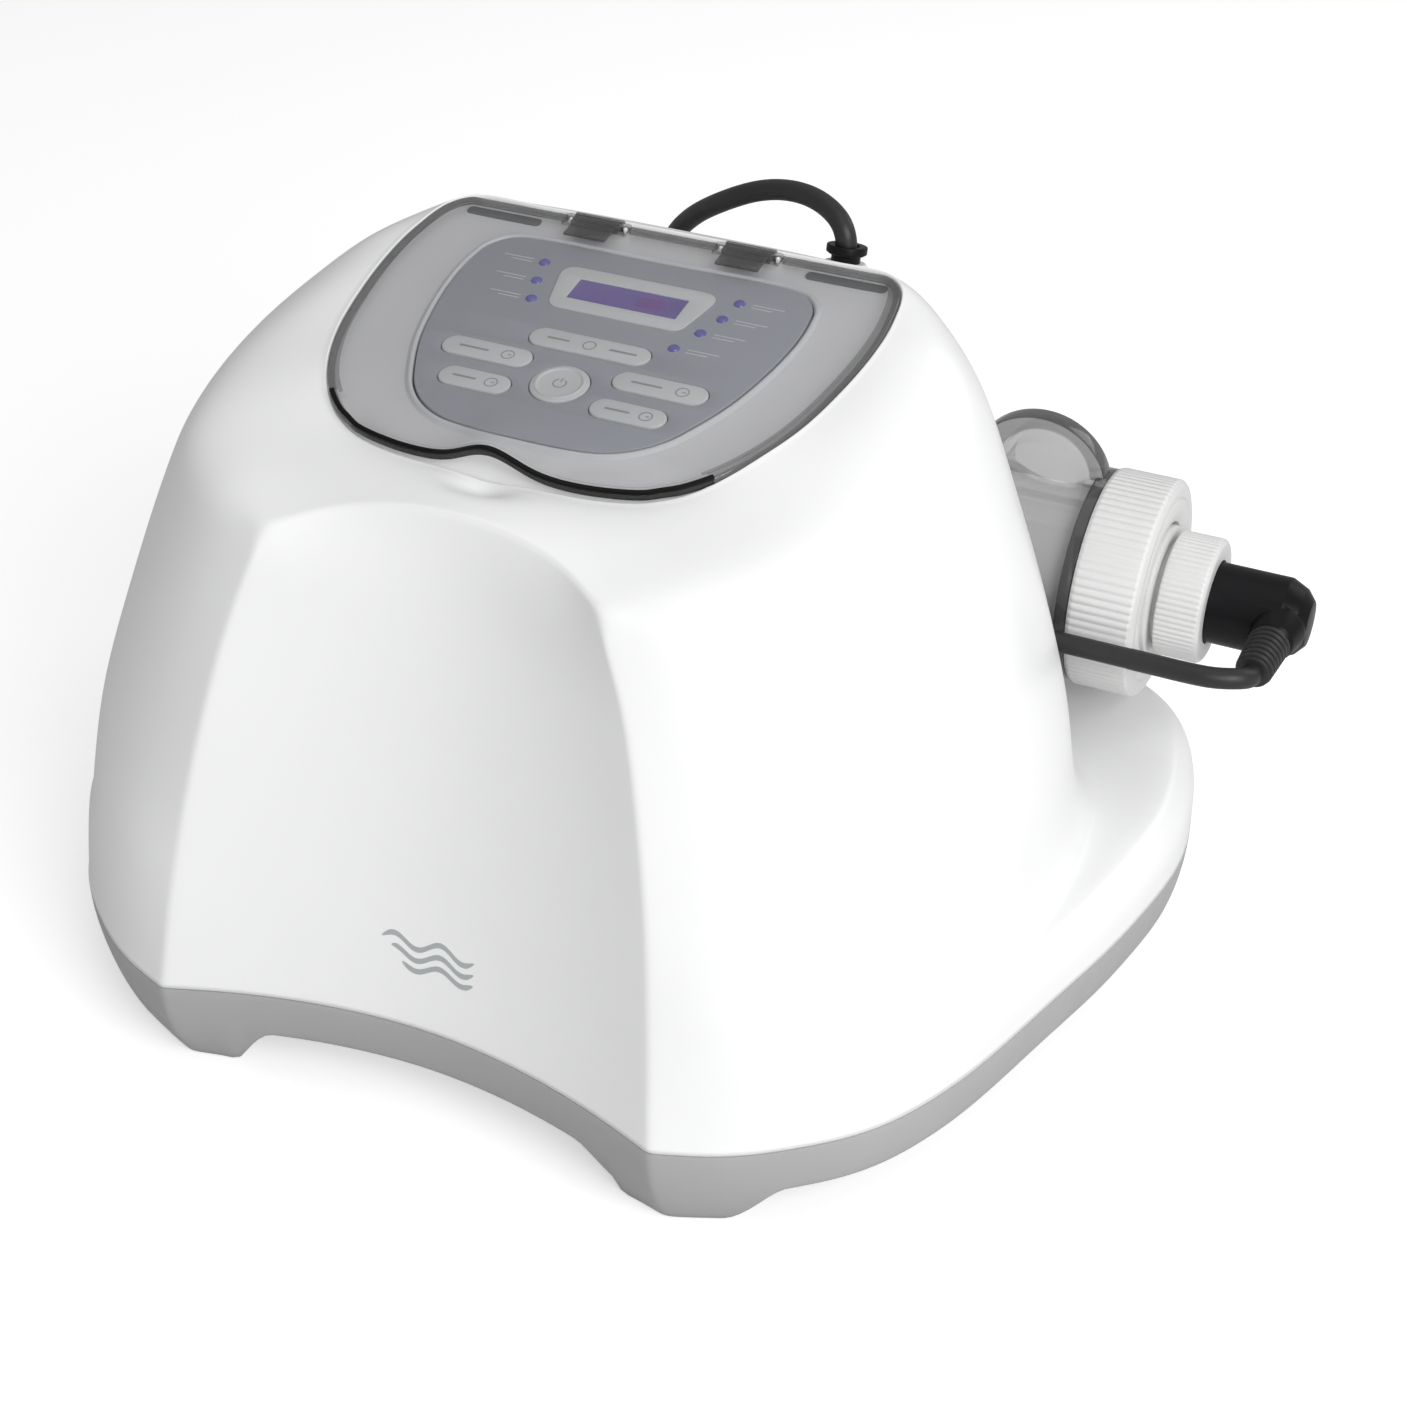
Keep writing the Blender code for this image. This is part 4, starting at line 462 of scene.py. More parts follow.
def plate(name, outlines, z0, z1, mat, place, bevel):
    """A flat plate, the first outline with the others as holes, edges rounded."""
    curve = bpy.data.curves.new(name, "CURVE")
    curve.dimensions, curve.fill_mode = "2D", "BOTH"
    curve.extrude = max((z1 - z0) / 2 - bevel, 0.0)
    curve.bevel_depth, curve.bevel_resolution = bevel, 2
    curve.offset = -bevel
    for outline in outlines:
        loop = curve.splines.new("POLY")
        loop.points.add(len(outline) - 1)
        for point, (x, y) in zip(loop.points, outline):
            point.co = (x, y, 0, 1)
        loop.use_cyclic_u = True
    source = bpy.data.objects.new(name + "_tmp", curve)
    SCENE.collection.objects.link(source)
    mesh = applied_mesh(source)
    bpy.data.objects.remove(source, do_unlink=True)
    bm = bmesh.new()
    bm.from_mesh(mesh)
    bmesh.ops.remove_doubles(bm, verts=bm.verts, dist=0.000002)
    bmesh.ops.transform(bm, matrix=place @ shift(0, 0, (z0 + z1) / 2), verts=bm.verts)
    bmesh.ops.recalc_face_normals(bm, faces=bm.faces)
    bmesh_to_mesh(bm, mesh)
    mesh.name = name
    mesh.materials.clear()
    return link_mesh(name, mesh, [mat], 35)


def box(name, size, mat, place, bevel=0.0, steps=3):
    bm = bmesh.new()
    bmesh.ops.create_cube(bm, size=1.0)
    bmesh.ops.scale(bm, vec=size, verts=bm.verts)
    if bevel:
        bmesh.ops.bevel(bm, geom=bm.edges[:], offset=bevel, segments=steps,
                        profile=0.5, affect="EDGES")
    bmesh.ops.transform(bm, matrix=place, verts=bm.verts)
    return link_mesh(name, bmesh_to_mesh(bm, bpy.data.meshes.new(name)), [mat], 35)


def applied_mesh(o):
    bpy.context.view_layer.update()
    evaluated = o.evaluated_get(bpy.context.evaluated_depsgraph_get())
    return bpy.data.meshes.new_from_object(evaluated)


def combine(o, others, op="DIFFERENCE", solver="EXACT"):
    """Cuts the others from o, or joins them to it, and removes them."""
    for other in others:
        modifier = o.modifiers.new("b", "BOOLEAN")
        modifier.operation, modifier.object, modifier.solver = op, other, solver
    mesh = applied_mesh(o)
    mats = list(o.data.materials)
    o.modifiers.clear()
    o.data = mesh
    # in case the applied mesh comes without its materials
    if not mesh.materials:
        for mat in mats:
            mesh.materials.append(mat)
    for other in others:
        bpy.data.objects.remove(other, do_unlink=True)


def circle(cx, cy, r, n):
    angles = [2 * math.pi * i / n for i in range(n)]
    return [(cx + r * math.cos(a), cy + r * math.sin(a)) for a in angles]


def pill(cx, cy, half, r, n=12):
    """A long shape with round ends, `half` of its length each side of cx."""
    out = []
    for side in (1, -1):
        for i in range(n + 1):
            a = -side * math.pi / 2 + math.pi * i / n
            out.append((cx + side * (half - r) + r * math.cos(a), cy + r * math.sin(a)))
    return out


def rect(x0, y0, x1, y1):
    return [(x0, y0), (x1, y0), (x1, y1), (x0, y1)]


def ease(x, a, b):
    """Smooth step from 0 at a to 1 at b."""
    t = np.clip((np.asarray(x, float) - a) / (b - a), 0, 1)
    return t * t * (3 - 2 * t)


# Half outlines run from the front centre by the right side to the back centre.
MIRROR = np.array([-1.0, 1.0, 1.0])


def inward(half):
    """Unit directions in plan, pointing into a half outline."""
    plan = np.array(half)[:, :2]
    before = np.vstack([plan[1] * MIRROR[:2], plan[:-1]])
    after = np.vstack([plan[1:], plan[-2] * MIRROR[:2]])
    tangent = after - before
    tangent /= np.linalg.norm(tangent, axis=1)[:, None]
    return np.stack([-tangent[:, 1], tangent[:, 0]], axis=1)


def full_ring(half):
    return [tuple(p) for p in half] + [(-p[0], *p[1:]) for p in half[-2:0:-1]]


# ---------------------------------------------------------------- the enclosure's design net
# corner of the hollow front face, by height
FRONT_Z = (0.0424, 0.08, 0.12, 0.16, 0.20, 0.2234)
FRONT_X = (0.1000, 0.0967, 0.0917, 0.0848, 0.0736, 0.0640)
FRONT_Y = (-0.1706, -0.1629, -0.1535, -0.1441, -0.1342, -0.1306)


def front(z):
    """Stations 0 to 3, the hollow front face, at height z."""
    corner_x = float(np.interp(z, FRONT_Z, FRONT_X))
    corner_y = float(np.interp(z, FRONT_Z, FRONT_Y))
    middle_y = -0.1492 + 0.2 * (z - SEAM_Z)
    return [(corner_x * u, middle_y + (corner_y - middle_y) * abs(u) ** 1.9, z)
            for u in (0.0, 0.36, 0.72, 1.0)]


def at_height(z, points):
    return [(x, y, z) for x, y in points]


def panel_z(y, up):
    """World height of a point that is `up` above the panel plane, at depth y."""
    return PANEL_Z + (y - PANEL_Y) * math.tan(PANEL_TILT) + up / TILT_COS


def rim_up(y):
    """The rim sinks level with the panel along the front edge."""
    return RIM_UP - 0.0046 * ease(-y, 0.050, 0.084)


def floor_up(y):
    """The tray floor, which drops away below the lid's front edge."""
    return TRAY_FLOOR - 0.0034 * ease(-y, 0.066, 0.078)


# the tray rim in plan: x, y
RIM_XY = [
    (0.0, -0.0862), (0.0200, -0.0860), (0.0400, -0.0848), (0.0560, -0.0812), (0.0680, -0.0740),
    (0.0778, -0.0640), (0.0858, -0.0508), (0.0928, -0.0322), (0.0980, -0.0050),
    (0.1000, 0.0180), (0.0994, 0.0360), (0.0950, 0.0560), (0.0865, 0.0640), (0.0600, 0.0648),
    (0.0, 0.0648)]
# right half of the shell: levels going up, each of 15 stations (x, y, z)
NET = [
    # 0 joint line
    front(0.0424) + at_height(0.0424, [
        (0.1233, -0.1617), (0.1450, -0.1467), (0.1658, -0.1267), (0.1833, -0.0942),
        (0.2008, -0.0358), (0.2142, 0.0158), (0.2200, 0.0742), (0.2000, 0.1350),
        (0.1650, 0.1550), (0.1050, 0.1630), (0.0, 0.1650)]),
    # 1 top of the vertical edge
    front(0.0560) + [
        (0.1223, -0.1603, 0.0560), (0.1457, -0.1448, 0.0560), (0.1658, -0.1240, 0.0570),
        (0.1843, -0.0910, 0.0600), (0.2002, -0.0358, 0.0585), (0.2135, 0.0158, 0.0585),
        (0.2193, 0.0738, 0.0590), (0.1995, 0.1343, 0.0595), (0.1647, 0.1543, 0.0595),
        (0.1050, 0.1623, 0.0595), (0.0, 0.1643, 0.0595)],
    # 2 top of the side skirt, outer
    front(0.0680) + [
        (0.1213, -0.1588, 0.0680), (0.1467, -0.1423, 0.0700), (0.1665, -0.1190, 0.0740),
        (0.1832, -0.0845, 0.0725), (0.1960, -0.0368, 0.0683), (0.2075, 0.0140, 0.0685),
        (0.2125, 0.0715, 0.0700), (0.1940, 0.1290, 0.0708), (0.1605, 0.1485, 0.0710),
        (0.1020, 0.1560, 0.0710), (0.0, 0.1580, 0.0710)],
    # 3 top of the side skirt, inner
    front(0.0790) + [
        (0.1203, -0.1572, 0.0790), (0.1468, -0.1400, 0.0820), (0.1662, -0.1135, 0.0850),
        (0.1810, -0.0800, 0.0775), (0.1905, -0.0385, 0.0712), (0.1927, 0.0060, 0.0712),
        (0.1860, 0.0500, 0.0722), (0.1605, 0.0790, 0.0730), (0.1300, 0.0855, 0.0730),
        (0.0920, 0.0865, 0.0730), (0.0, 0.0865, 0.0730)],
    # 4 foot of the dome wall
    front(0.0950) + [
        (0.1187, -0.1548, 0.0950), (0.1453, -0.1372, 0.0960), (0.1640, -0.1128, 0.0975),
        (0.1776, -0.0845, 0.0930), (0.1868, -0.0395, 0.0860), (0.1877, 0.0050, 0.0860),
        (0.1792, 0.0450, 0.0865), (0.1555, 0.0715, 0.0870), (0.1255, 0.0780, 0.0870),
        (0.0900, 0.0785, 0.0870), (0.0, 0.0785, 0.0870)],
    # 5 to 8 dome wall
    front(0.1200) + at_height(0.1200, [
        (0.1150, -0.1470), (0.1410, -0.1310), (0.1600, -0.1100), (0.1730, -0.0830),
        (0.1822, -0.0400), (0.1830, 0.0050), (0.1735, 0.0450), (0.1500, 0.0690),
        (0.1220, 0.0765), (0.0900, 0.0785), (0.0, 0.0785)]),
    front(0.1700) + at_height(0.1700, [
        (0.1050, -0.1345), (0.1300, -0.1190), (0.1450, -0.1010), (0.1575, -0.0760),
        (0.1680, -0.0380), (0.1695, 0.0030), (0.1590, 0.0450), (0.1390, 0.0675),
        (0.1150, 0.0760), (0.0850, 0.0785), (0.0, 0.0785)]),
    front(0.2000) + at_height(0.2000, [
        (0.0945, -0.1290), (0.1180, -0.1150), (0.1350, -0.0955), (0.1470, -0.0710),
        (0.1565, -0.0355), (0.1590, 0.0030), (0.1500, 0.0410), (0.1305, 0.0670),
        (0.1100, 0.0770), (0.0820, 0.0825), (0.0, 0.0835)]),
    front(0.2170) + [(0.0880, -0.1260, 0.2190), (0.1090, -0.1130, 0.2200)] + at_height(0.2210, [
        (0.1270, -0.0930), (0.1375, -0.0680), (0.1465, -0.0340), (0.1500, 0.0020),
        (0.1430, 0.0390), (0.1250, 0.0660), (0.1060, 0.0780), (0.0790, 0.0855), (0.0, 0.0870)]),
    # 9 shoulder, and the arched top edge of the hollow front
    [(0.0, -0.1100, 0.2385), (0.0225, -0.1112, 0.2372), (0.0450, -0.1165, 0.2330),
     (0.0640, -0.1290, 0.2268), (0.0830, -0.1215, 0.2312), (0.1000, -0.1095, 0.2328),
     (0.1190, -0.0925, 0.2348), (0.1295, -0.0675, 0.2365), (0.1370, -0.0340, 0.2385),
     (0.1395, 0.0030, 0.2405), (0.1350, 0.0380, 0.2405), (0.1190, 0.0640, 0.2420),
     (0.1010, 0.0765, 0.2415), (0.0760, 0.0850, 0.2405), (0.0, 0.0875, 0.2405)],
    # 10, 11 top of the dome
    [(0.0, -0.1020, 0.2394), (0.0215, -0.1025, 0.2388), (0.0430, -0.1050, 0.2370),
     (0.0605, -0.1080, 0.2352), (0.0770, -0.1010, 0.2362), (0.0915, -0.0905, 0.2382),
     (0.1050, -0.0745, 0.2418), (0.1135, -0.0530, 0.2455), (0.1195, -0.0240, 0.2510),
     (0.1218, 0.0080, 0.2545), (0.1195, 0.0365, 0.2585), (0.1080, 0.0620, 0.2575),
     (0.0950, 0.0735, 0.2575), (0.0725, 0.0795, 0.2590), (0.0, 0.0820, 0.2595)],
    [(0.0, -0.0930, 0.2398), (0.0205, -0.0930, 0.2396), (0.0412, -0.0930, 0.2392),
     (0.0580, -0.0910, 0.2392), (0.0720, -0.0835, 0.2402), (0.0830, -0.0735, 0.2428),
     (0.0925, -0.0585, 0.2470), (0.1005, -0.0390, 0.2510), (0.1065, -0.0110, 0.2568),
     (0.1085, 0.0150, 0.2608), (0.1075, 0.0362, 0.2643), (0.1005, 0.0590, 0.2663),
     (0.0895, 0.0692, 0.2665), (0.0640, 0.0722, 0.2678), (0.0, 0.0735, 0.2682)],
    # 12 tray rim
    [(x, y, panel_z(y, rim_up(y))) for x, y in RIM_XY],
]
NET = np.array(NET)
CORNER = 3        # station of the front corner
ARCH = 9          # level of the hollow front's top edge


def shell_row(level, stations):
    """A level's curve at these stations; the front corner is a knuckle."""
    hollow = np.vstack([level[1] * MIRROR, level[:CORNER + 1]])
    side = np.vstack([level[CORNER:], level[-2] * MIRROR])
    return np.array([spline(hollow, [s + 1])[0] if s <= CORNER
                     else spline(side, [s - CORNER])[0] for s in stations])


# right half of the control panel: x, y
PANEL_HALF = np.array([
    (0.0, -0.0650), (0.0200, -0.0645), (0.0320, -0.0625), (0.0415, -0.0575), (0.0495, -0.0495),
    (0.0555, -0.0385), (0.0615, -0.0240), (0.0655, -0.0085), (0.0680, 0.0060),
    (0.0690, 0.0180), (0.0687, 0.0280), (0.0668, 0.0380), (0.0615, 0.0445), (0.0540, 0.0470),
    (0.0, 0.0472)])


def panel_outline(grow):
    out = PANEL_HALF - inward(PANEL_HALF) * grow
    out[[0, -1], 0] = 0.0
    return out


def at_angle(half, angle):
    """Point of a half outline in a direction (0 front, pi back) from its middle."""
    cx, cy = 0.0, -0.006
    dx, dy = math.sin(angle), -math.cos(angle)
    for (x0, y0), (x1, y1) in zip(half, half[1:]):
        ex, ey = x1 - x0, y1 - y0
        det = dx * -ey + dy * ex
        if abs(det) < 1e-12:
            continue
        t = ((x0 - cx) * -ey + (y0 - cy) * ex) / det
        u = (dx * (y0 - cy) - dy * (x0 - cx)) / det
        if t > 0 and -1e-9 <= u <= 1 + 1e-9:
            return (cx + dx * t, cy + dy * t)
    return half[0] if angle < 1 else half[-1]


# ---------------------------------------------------------------- upper shell
def even_params(lengths, step):
    """Parameters along spans of these lengths, about one step apart."""
    out = []
    for i, length in enumerate(lengths):
        n = max(int(math.ceil(length / step)), 2)
        out += [i + j / n for j in range(n)]
    return np.array(out + [float(len(lengths))])


def relax(grid, along, upward, times):
    """Draws each point towards its neighbours, with weights in both directions."""
    for _ in range(times):
        left = np.concatenate([grid[:, 1:2] * MIRROR, grid[:, :-1]], axis=1)
        right = np.concatenate([grid[:, 1:], grid[:, -2:-1] * MIRROR], axis=1)
        down = np.concatenate([grid[:1], grid[:-1]], axis=0)
        up = np.concatenate([grid[1:], grid[-1:]], axis=0)
        grid = (grid + along[..., None] * ((left + right) / 2 - grid)
                + upward[..., None] * ((down + up) / 2 - grid))
        grid[:, [0, -1], 0] = 0.0
    return grid


stations = even_params([max(np.linalg.norm(NET[k][i + 1] - NET[k][i]) for k in (0, 5, ARCH))
                        for i in range(14)], 0.0036)
levels = even_params([max(np.linalg.norm(NET[k + 1][i] - NET[k][i]) for i in (0, 3, 7, 10, 14))
                      for k in range(12)], 0.0032)
corner_col = int(np.argmin(abs(stations - CORNER)))
level_curves = np.array([shell_row(level, stations) for level in NET])
grid = np.zeros((len(levels), len(stations), 3))
for j, station in enumerate(stations):
    # round the front the arch is a hard edge, further back it fades out
    column = level_curves[:, j]
    soft = spline(column, levels)
    low = spline(column[:ARCH + 1], np.minimum(levels, ARCH))
    high = spline(column[ARCH:], np.maximum(levels - ARCH, 0.0))
    hard = np.where((levels <= ARCH)[:, None], low, high)
    hardness = 1 - ease(station, 2.8, 3.7)
    grid[:, j] = hard * hardness + soft * (1 - hardness)

LEV, STA = np.meshgrid(levels, stations, indexing="ij")
# first pass: the skirt, the corner crease and the arch keep their edges
along, upward = np.full_like(LEV, 0.45), np.full_like(LEV, 0.45)
upward *= ease(LEV, 3.2, 5.0) * 0.96 + 0.04
upward[(LEV < 4.6) & (STA <= 3.2)] = 0.45
upward[[0, -1]], along[[0, -1]] = 0.0, 0.20
along[(np.abs(STA - CORNER) < 1e-9) & (LEV < 9.01)] = 0.0
upward = np.where(np.abs(LEV - ARCH) < 1e-9, upward * ease(STA, 2.9, 4.2), upward)
grid = relax(grid, along, upward, 26)
# second pass: everything a little, but less near the crease and the arch
along, upward = np.full_like(LEV, 0.4), np.full_like(LEV, 0.4)
upward[[0, -1]] = 0.0
along[0], along[-1] = 0.3, 0.0
upward[0], upward[-1], along[0], along[-1] = 0.0, 0.0, 0.3, 0.0
along *= 1 - np.exp(-((STA - CORNER) / 0.30) ** 2) * (1 - ease(LEV, 8.0, 9.3))
upward *= 1 - np.exp(-((LEV - ARCH) / 0.35) ** 2) * (1 - ease(STA, 2.9, 4.0)) * 0.75
grid = relax(grid, along, upward, 3)


def split_crease(grid, trim):
    """Swaps the crease's column for a narrow rounded strip of five."""
    out = []
    for row in grid:
        c = row[corner_col]
        a, b = row[corner_col - 1] - c, row[corner_col + 1] - c
        a_len, b_len = np.linalg.norm(a), np.linalg.norm(b)
        p0 = c + a / a_len * min(trim, a_len * 0.6)
        p1 = c + b / b_len * min(trim, b_len * 0.6)
        strip = [(1 - f) ** 2 * p0 + 2 * f * (1 - f) * c + f * f * p1
                 for f in (0.0, 0.25, 0.5, 0.75, 1.0)]
        out.append(np.vstack([row[:corner_col], strip, row[corner_col + 1:]]))
    return np.array(out)


grid = split_crease(grid, 0.0021)
stations = np.insert(stations, corner_col, [CORNER] * 4)
corner_col += 2
seam = grid[0].copy()
grid[0][:, 2] = SEAM_Z + SEAM_GAP / 2


def scoop(x, y):
    """The finger scoop in front of the lid's lift."""
    return 0.0040 * np.exp(-((x / 0.0105) ** 2) - ((y + 0.0912) / 0.0048) ** 2)


for row in grid[levels > 9.3]:
    pass
for k in np.flatnonzero(levels > 9.3):
    grid[k][:, 2] -= scoop(grid[k][:, 0], grid[k][:, 1])
rim = grid[-1]
rim_in = inward(rim)


def height_above_panel(row):
    return (row[:, 2] - panel_z(row[:, 1], 0.0)) * TILT_COS


def on_panel(plan, up):
    """Plan points raised to `up` above the panel plane."""
    return np.column_stack([plan, panel_z(plan[:, 1], up)])


def rim_row(inset, above_rim):
    row = on_panel(rim[:, :2] + rim_in * inset, height_above_panel(rim) + above_rim)
    row[[0, -1], 0] = 0.0
    return row


def tray_row(inset, above_floor):
    """A row inside the rim, measured from the tray floor."""
    plan = rim[:, :2] + rim_in * inset
    floor = np.minimum(floor_up(plan[:, 1]), height_above_panel(rim) - 0.0010)
    row = on_panel(plan, floor + above_floor)
    row[[0, -1], 0] = 0.0
    return row


# over the rim and down to the tray floor: inset, height
rows = list(grid)
rows += [rim_row(inset, up) for inset, up in
         ((0.0003, 0.00015), (0.0006, 0.00005), (0.00085, -0.0003), (0.00095, -0.0008))]
rows += [tray_row(inset, up) for inset, up in
         ((0.0010, 0.0009), (0.0012, 0.0003), (0.0018, 0.0), (0.0030, 0.0))]
floor_row = rows[-1]
# the panel opening, at the same directions as the floor's points
opening = panel_outline(0.0006)
opening = spline(np.vstack([opening[1] * MIRROR[:2], opening, opening[-2] * MIRROR[:2]]),
                 np.linspace(1, len(opening), 240))
opening[[0, -1], 0] = 0.0
open_xy = np.array([at_angle(opening, math.atan2(max(p[0], 0.0), -(p[1] + 0.006)))
                    for p in floor_row])
open_xy[[0, -1], 0] = 0.0
gap_xy = open_xy - floor_row[:, :2]
gap_len = np.linalg.norm(gap_xy, axis=1)
floor_height = height_above_panel(floor_row)
for f in (0.15, 0.3, 0.45, 0.6, 0.72):
    reach = (1 - np.minimum(0.0034 / gap_len, 0.5))[:, None]
    up = (floor_height + (TRAY_FLOOR - floor_height) * float(ease(f, 0.0, 0.45))
          - 0.0004 * math.sin(math.pi * f))
    rows.append(on_panel(floor_row[:, :2] + gap_xy * f * reach, up))
# pale bead round the opening: distance outside it, height above the tray floor
BEAD = [(0.0032, -0.0001), (0.0027, 0.0), (0.0023, 0.0004), (0.0019, 0.0009), (0.0014, 0.0012),
        (0.0009, 0.0012), (0.0005, 0.0010), (0.0002, 0.0006), (0.0, -0.0002), (0.0, -0.0020)]
for distance, up in BEAD:
    d = np.minimum(distance, gap_len * 0.8)[:, None]
    rows.append(on_panel(open_xy - gap_xy / gap_len[:, None] * d, TRAY_FLOOR + up))
shell = add("shell_upper", *skin([full_ring(r) for r in rows]), [MAT["shell"], MAT["pale"]], 180)
bead_from = (len(rows) - len(BEAD)) * (2 * len(stations) - 2)
for face in shell.data.polygons:
    if face.index >= bead_from:
        face.material_index = 1
wall = shell.modifiers.new("wall", "SOLIDIFY")
wall.thickness, wall.offset, wall.use_even_offset = 0.0020, -1.0, False
install(shell, part="upper_shell")

# ---------------------------------------------------------------- base tray
seam_in = inward(seam)
# 1 over the feet, at the front corners and the rear, 0 between them
foot = np.maximum(ease(stations, 1.74, 2.30) * (1 - ease(stations, 4.10, 4.92)),
                  ease(stations, 10.50, 10.80) * (1 - ease(stations, 11.95, 12.25)))
bottom_z = BASE_BAND_Z * (1 - foot)
JOIN_Z = SEAM_Z - SEAM_GAP / 2
BOTTOM_INSET = 0.0125
CENTRE_Y = -0.01


def base_inset(z):
    t = np.clip((JOIN_Z - z) / JOIN_Z, 0, 1)
    return BOTTOM_INSET * t ** 2.1


def base_row(inset, z):
    inset, z = np.broadcast_to(inset, foot.shape), np.broadcast_to(z, foot.shape)
    out = np.column_stack([seam[:, 0] + seam_in[:, 0] * inset,
                           seam[:, 1] + seam_in[:, 1] * inset, z])
    # deeper rows are smoothed round the front corner, so that rows never cross
    lo, hi = corner_col - 9, corner_col + 10
    for _ in range(int(min(float(np.max(inset[lo:hi])), 0.016) / 0.0004)):
        middle = (out[lo - 1:hi - 1, :2] + out[lo + 1:hi + 1, :2]) / 2
        out[lo:hi, :2] += 0.5 * (middle - out[lo:hi, :2])
    out[[0, -1], 0] = 0.0
    return out


def shrunk(row, f, z):
    return np.column_stack([row[:, 0] * f, CENTRE_Y + (row[:, 1] - CENTRE_Y) * f,
                            np.full(len(row), z)])


bottom_in = base_inset(bottom_z)
underside = base_row(BOTTOM_INSET + 0.0300, BASE_BAND_Z)
rows = [shrunk(underside, f, BASE_BAND_Z) for f in (0.02, 0.25, 0.5, 0.72)]
# underside: inset from the foot's edge, share of the foot's depth
for inset, share in ((0.0300, 0.0), (0.0215, 0.0), (0.0178, 0.75), (0.0165, 0.96),
                     (0.0150, 1.0), (0.0100, 1.0), (0.0045, 1.0), (0.0020, 1.0)):
    rows.append(base_row(bottom_in + inset, BASE_BAND_Z - (BASE_BAND_Z - bottom_z) * share))
rows.append(base_row(bottom_in + 0.0011, bottom_z + 0.0001))
rows.append(base_row(bottom_in + 0.0004, bottom_z + 0.0005))
# outer wall, joint lip, inner wall and inner floor
for k in range(10):
    z = bottom_z + 0.0012 + (JOIN_Z - 0.0004 - bottom_z - 0.0012) * k / 9
    rows.append(base_row(base_inset(z), z))
rows.append(base_row(0.0001, JOIN_Z - 0.0001))
rows.append(base_row(0.0005, JOIN_Z))
rows.append(base_row(0.0022, JOIN_Z))
for k in range(1, 5):
    z = JOIN_Z - (JOIN_Z - 0.0230) * k / 4
    rows.append(base_row(float(base_inset(z)) + 0.0024, z))
rows += [shrunk(rows[-1], f, 0.0224) for f in (0.97, 0.7, 0.4, 0.02)]
base = add("base_pan", *skin([full_ring(r) for r in rows], capped=True), [MAT["base"]], 38)
wells = []
for x, y in POSTS:
    bm = bmesh.new()
    bmesh.ops.create_cone(bm, cap_ends=True, segments=40, radius1=0.0045, radius2=0.0045,
                          depth=0.0190)
    bmesh.ops.transform(bm, matrix=shift(x, y, 0.0080), verts=bm.verts)
    wells.append(link_mesh("well", bmesh_to_mesh(bm, bpy.data.meshes.new("well"))))
uncut = base.data.copy()
combine(base, wells, solver="MANIFOLD")
# the solver can return next to nothing; the base then stays without wells
if len(base.data.polygons) < 1000:
    base.data = uncut
shade(base, 38)
install(base, part="base_tray")

SCREW_PROFILE = [(0, 0.0345), (0.0013, 0.0340), (0.0016, 0.0325), (0.0016, 0.0177),
                 (0.0036, 0.0172), (0.0036, 0.0160), (0.0030, 0.0152), (0, 0.0150)]
for i, (x, y) in enumerate(POSTS, 1):
    screw = lathe(f"screw_{i}", SCREW_PROFILE, MAT["steel"], shift(x, y, 0), 40, corner=0.0003)
    combine(screw, [box("cross", (0.0044, 0.0009, 0.0016), MAT["steel"],
                        shift(x, y, 0.0152) @ turn(angle, "Z")) for angle in (0, math.pi / 2)])
    shade(screw, 35)
    install(screw, part=f"base_screw_{i}")

# ---------------------------------------------------------------- control panel
# keys on the panel plane: x, y, half length
KEYS = {
    "key_mode": (0.0, -0.0728, 0.0240),
    "key_left_upper": (-0.0342, -0.0875, 0.0180),
    "key_right_upper": (0.0350, -0.0875, 0.0182),
    "key_left_lower": (-0.0302, -0.1045, 0.0141),
    "key_right_lower": (0.0306, -0.1045, 0.0145),
}
KEY_GAP = 0.0004
POWER_AT = (0.0, -0.0967)
LAMPS = {
    "left": [(-0.0407, -0.0293), (-0.0380, -0.0410), (-0.0344, -0.0523)],
    "right": [(0.0404, -0.0307), (0.0384, -0.0418), (0.0345, -0.0523), (0.0293, -0.0639)],
}
LAMP_PROFILE = [(0, 0.0010), (0.0010, 0.00092), (0.0018, 0.0006), (0.0023, 0.0),
                (0.0023, -0.0006), (0, -0.0006)]
LCD_X, LCD_Y, LCD_W, LCD_H = 0.0, -0.0415, 0.0446, 0.0126
BEZEL_TOP, BEZEL_LOW, BEZEL_H = 0.0328, 0.0268, 0.0130      # half widths, half height
SIDES = {"left": -1, "right": 1}

ring = full_ring([(x, (y - PANEL_Y) / TILT_COS) for x, y in panel_outline(0.0)])
overlay = spline(ring[-2:] + ring + ring[:3], [2 + i / 6 for i in range(len(ring) * 6)])
holes = [pill(x, y, half + KEY_GAP, PILL_H / 2 + KEY_GAP) for x, y, half in KEYS.values()]
holes.append(circle(*POWER_AT, POWER_R + KEY_GAP, 56))
install(plate("overlay_panel", [overlay] + holes, -0.0030, 0.0, MAT["overlay"], PANEL, 0.0004),
        part="control_panel")

# display: pale bezel, wider at the top, round a violet window
bezel = fillet([(LCD_X - BEZEL_LOW, LCD_Y - BEZEL_H), (LCD_X + BEZEL_LOW, LCD_Y - BEZEL_H),
                (LCD_X + BEZEL_TOP, LCD_Y + BEZEL_H), (LCD_X - BEZEL_TOP, LCD_Y + BEZEL_H)],
               0.0060, 8)
window = rect(LCD_X - LCD_W / 2, LCD_Y - LCD_H / 2, LCD_X + LCD_W / 2, LCD_Y + LCD_H / 2)
patch = fillet(rect(LCD_X + 0.0040, LCD_Y - 0.0034, LCD_X + 0.0150, LCD_Y + 0.0032), 0.0012, 4)
install(plate("display_bezel", [bezel, window], -0.0004, 0.0005, MAT["key"], PANEL, 0.0002))
install(plate("display_glass", [window], -0.0008, 0.0002, MAT["lcd"], PANEL, 0.0001),
        part="display_window")
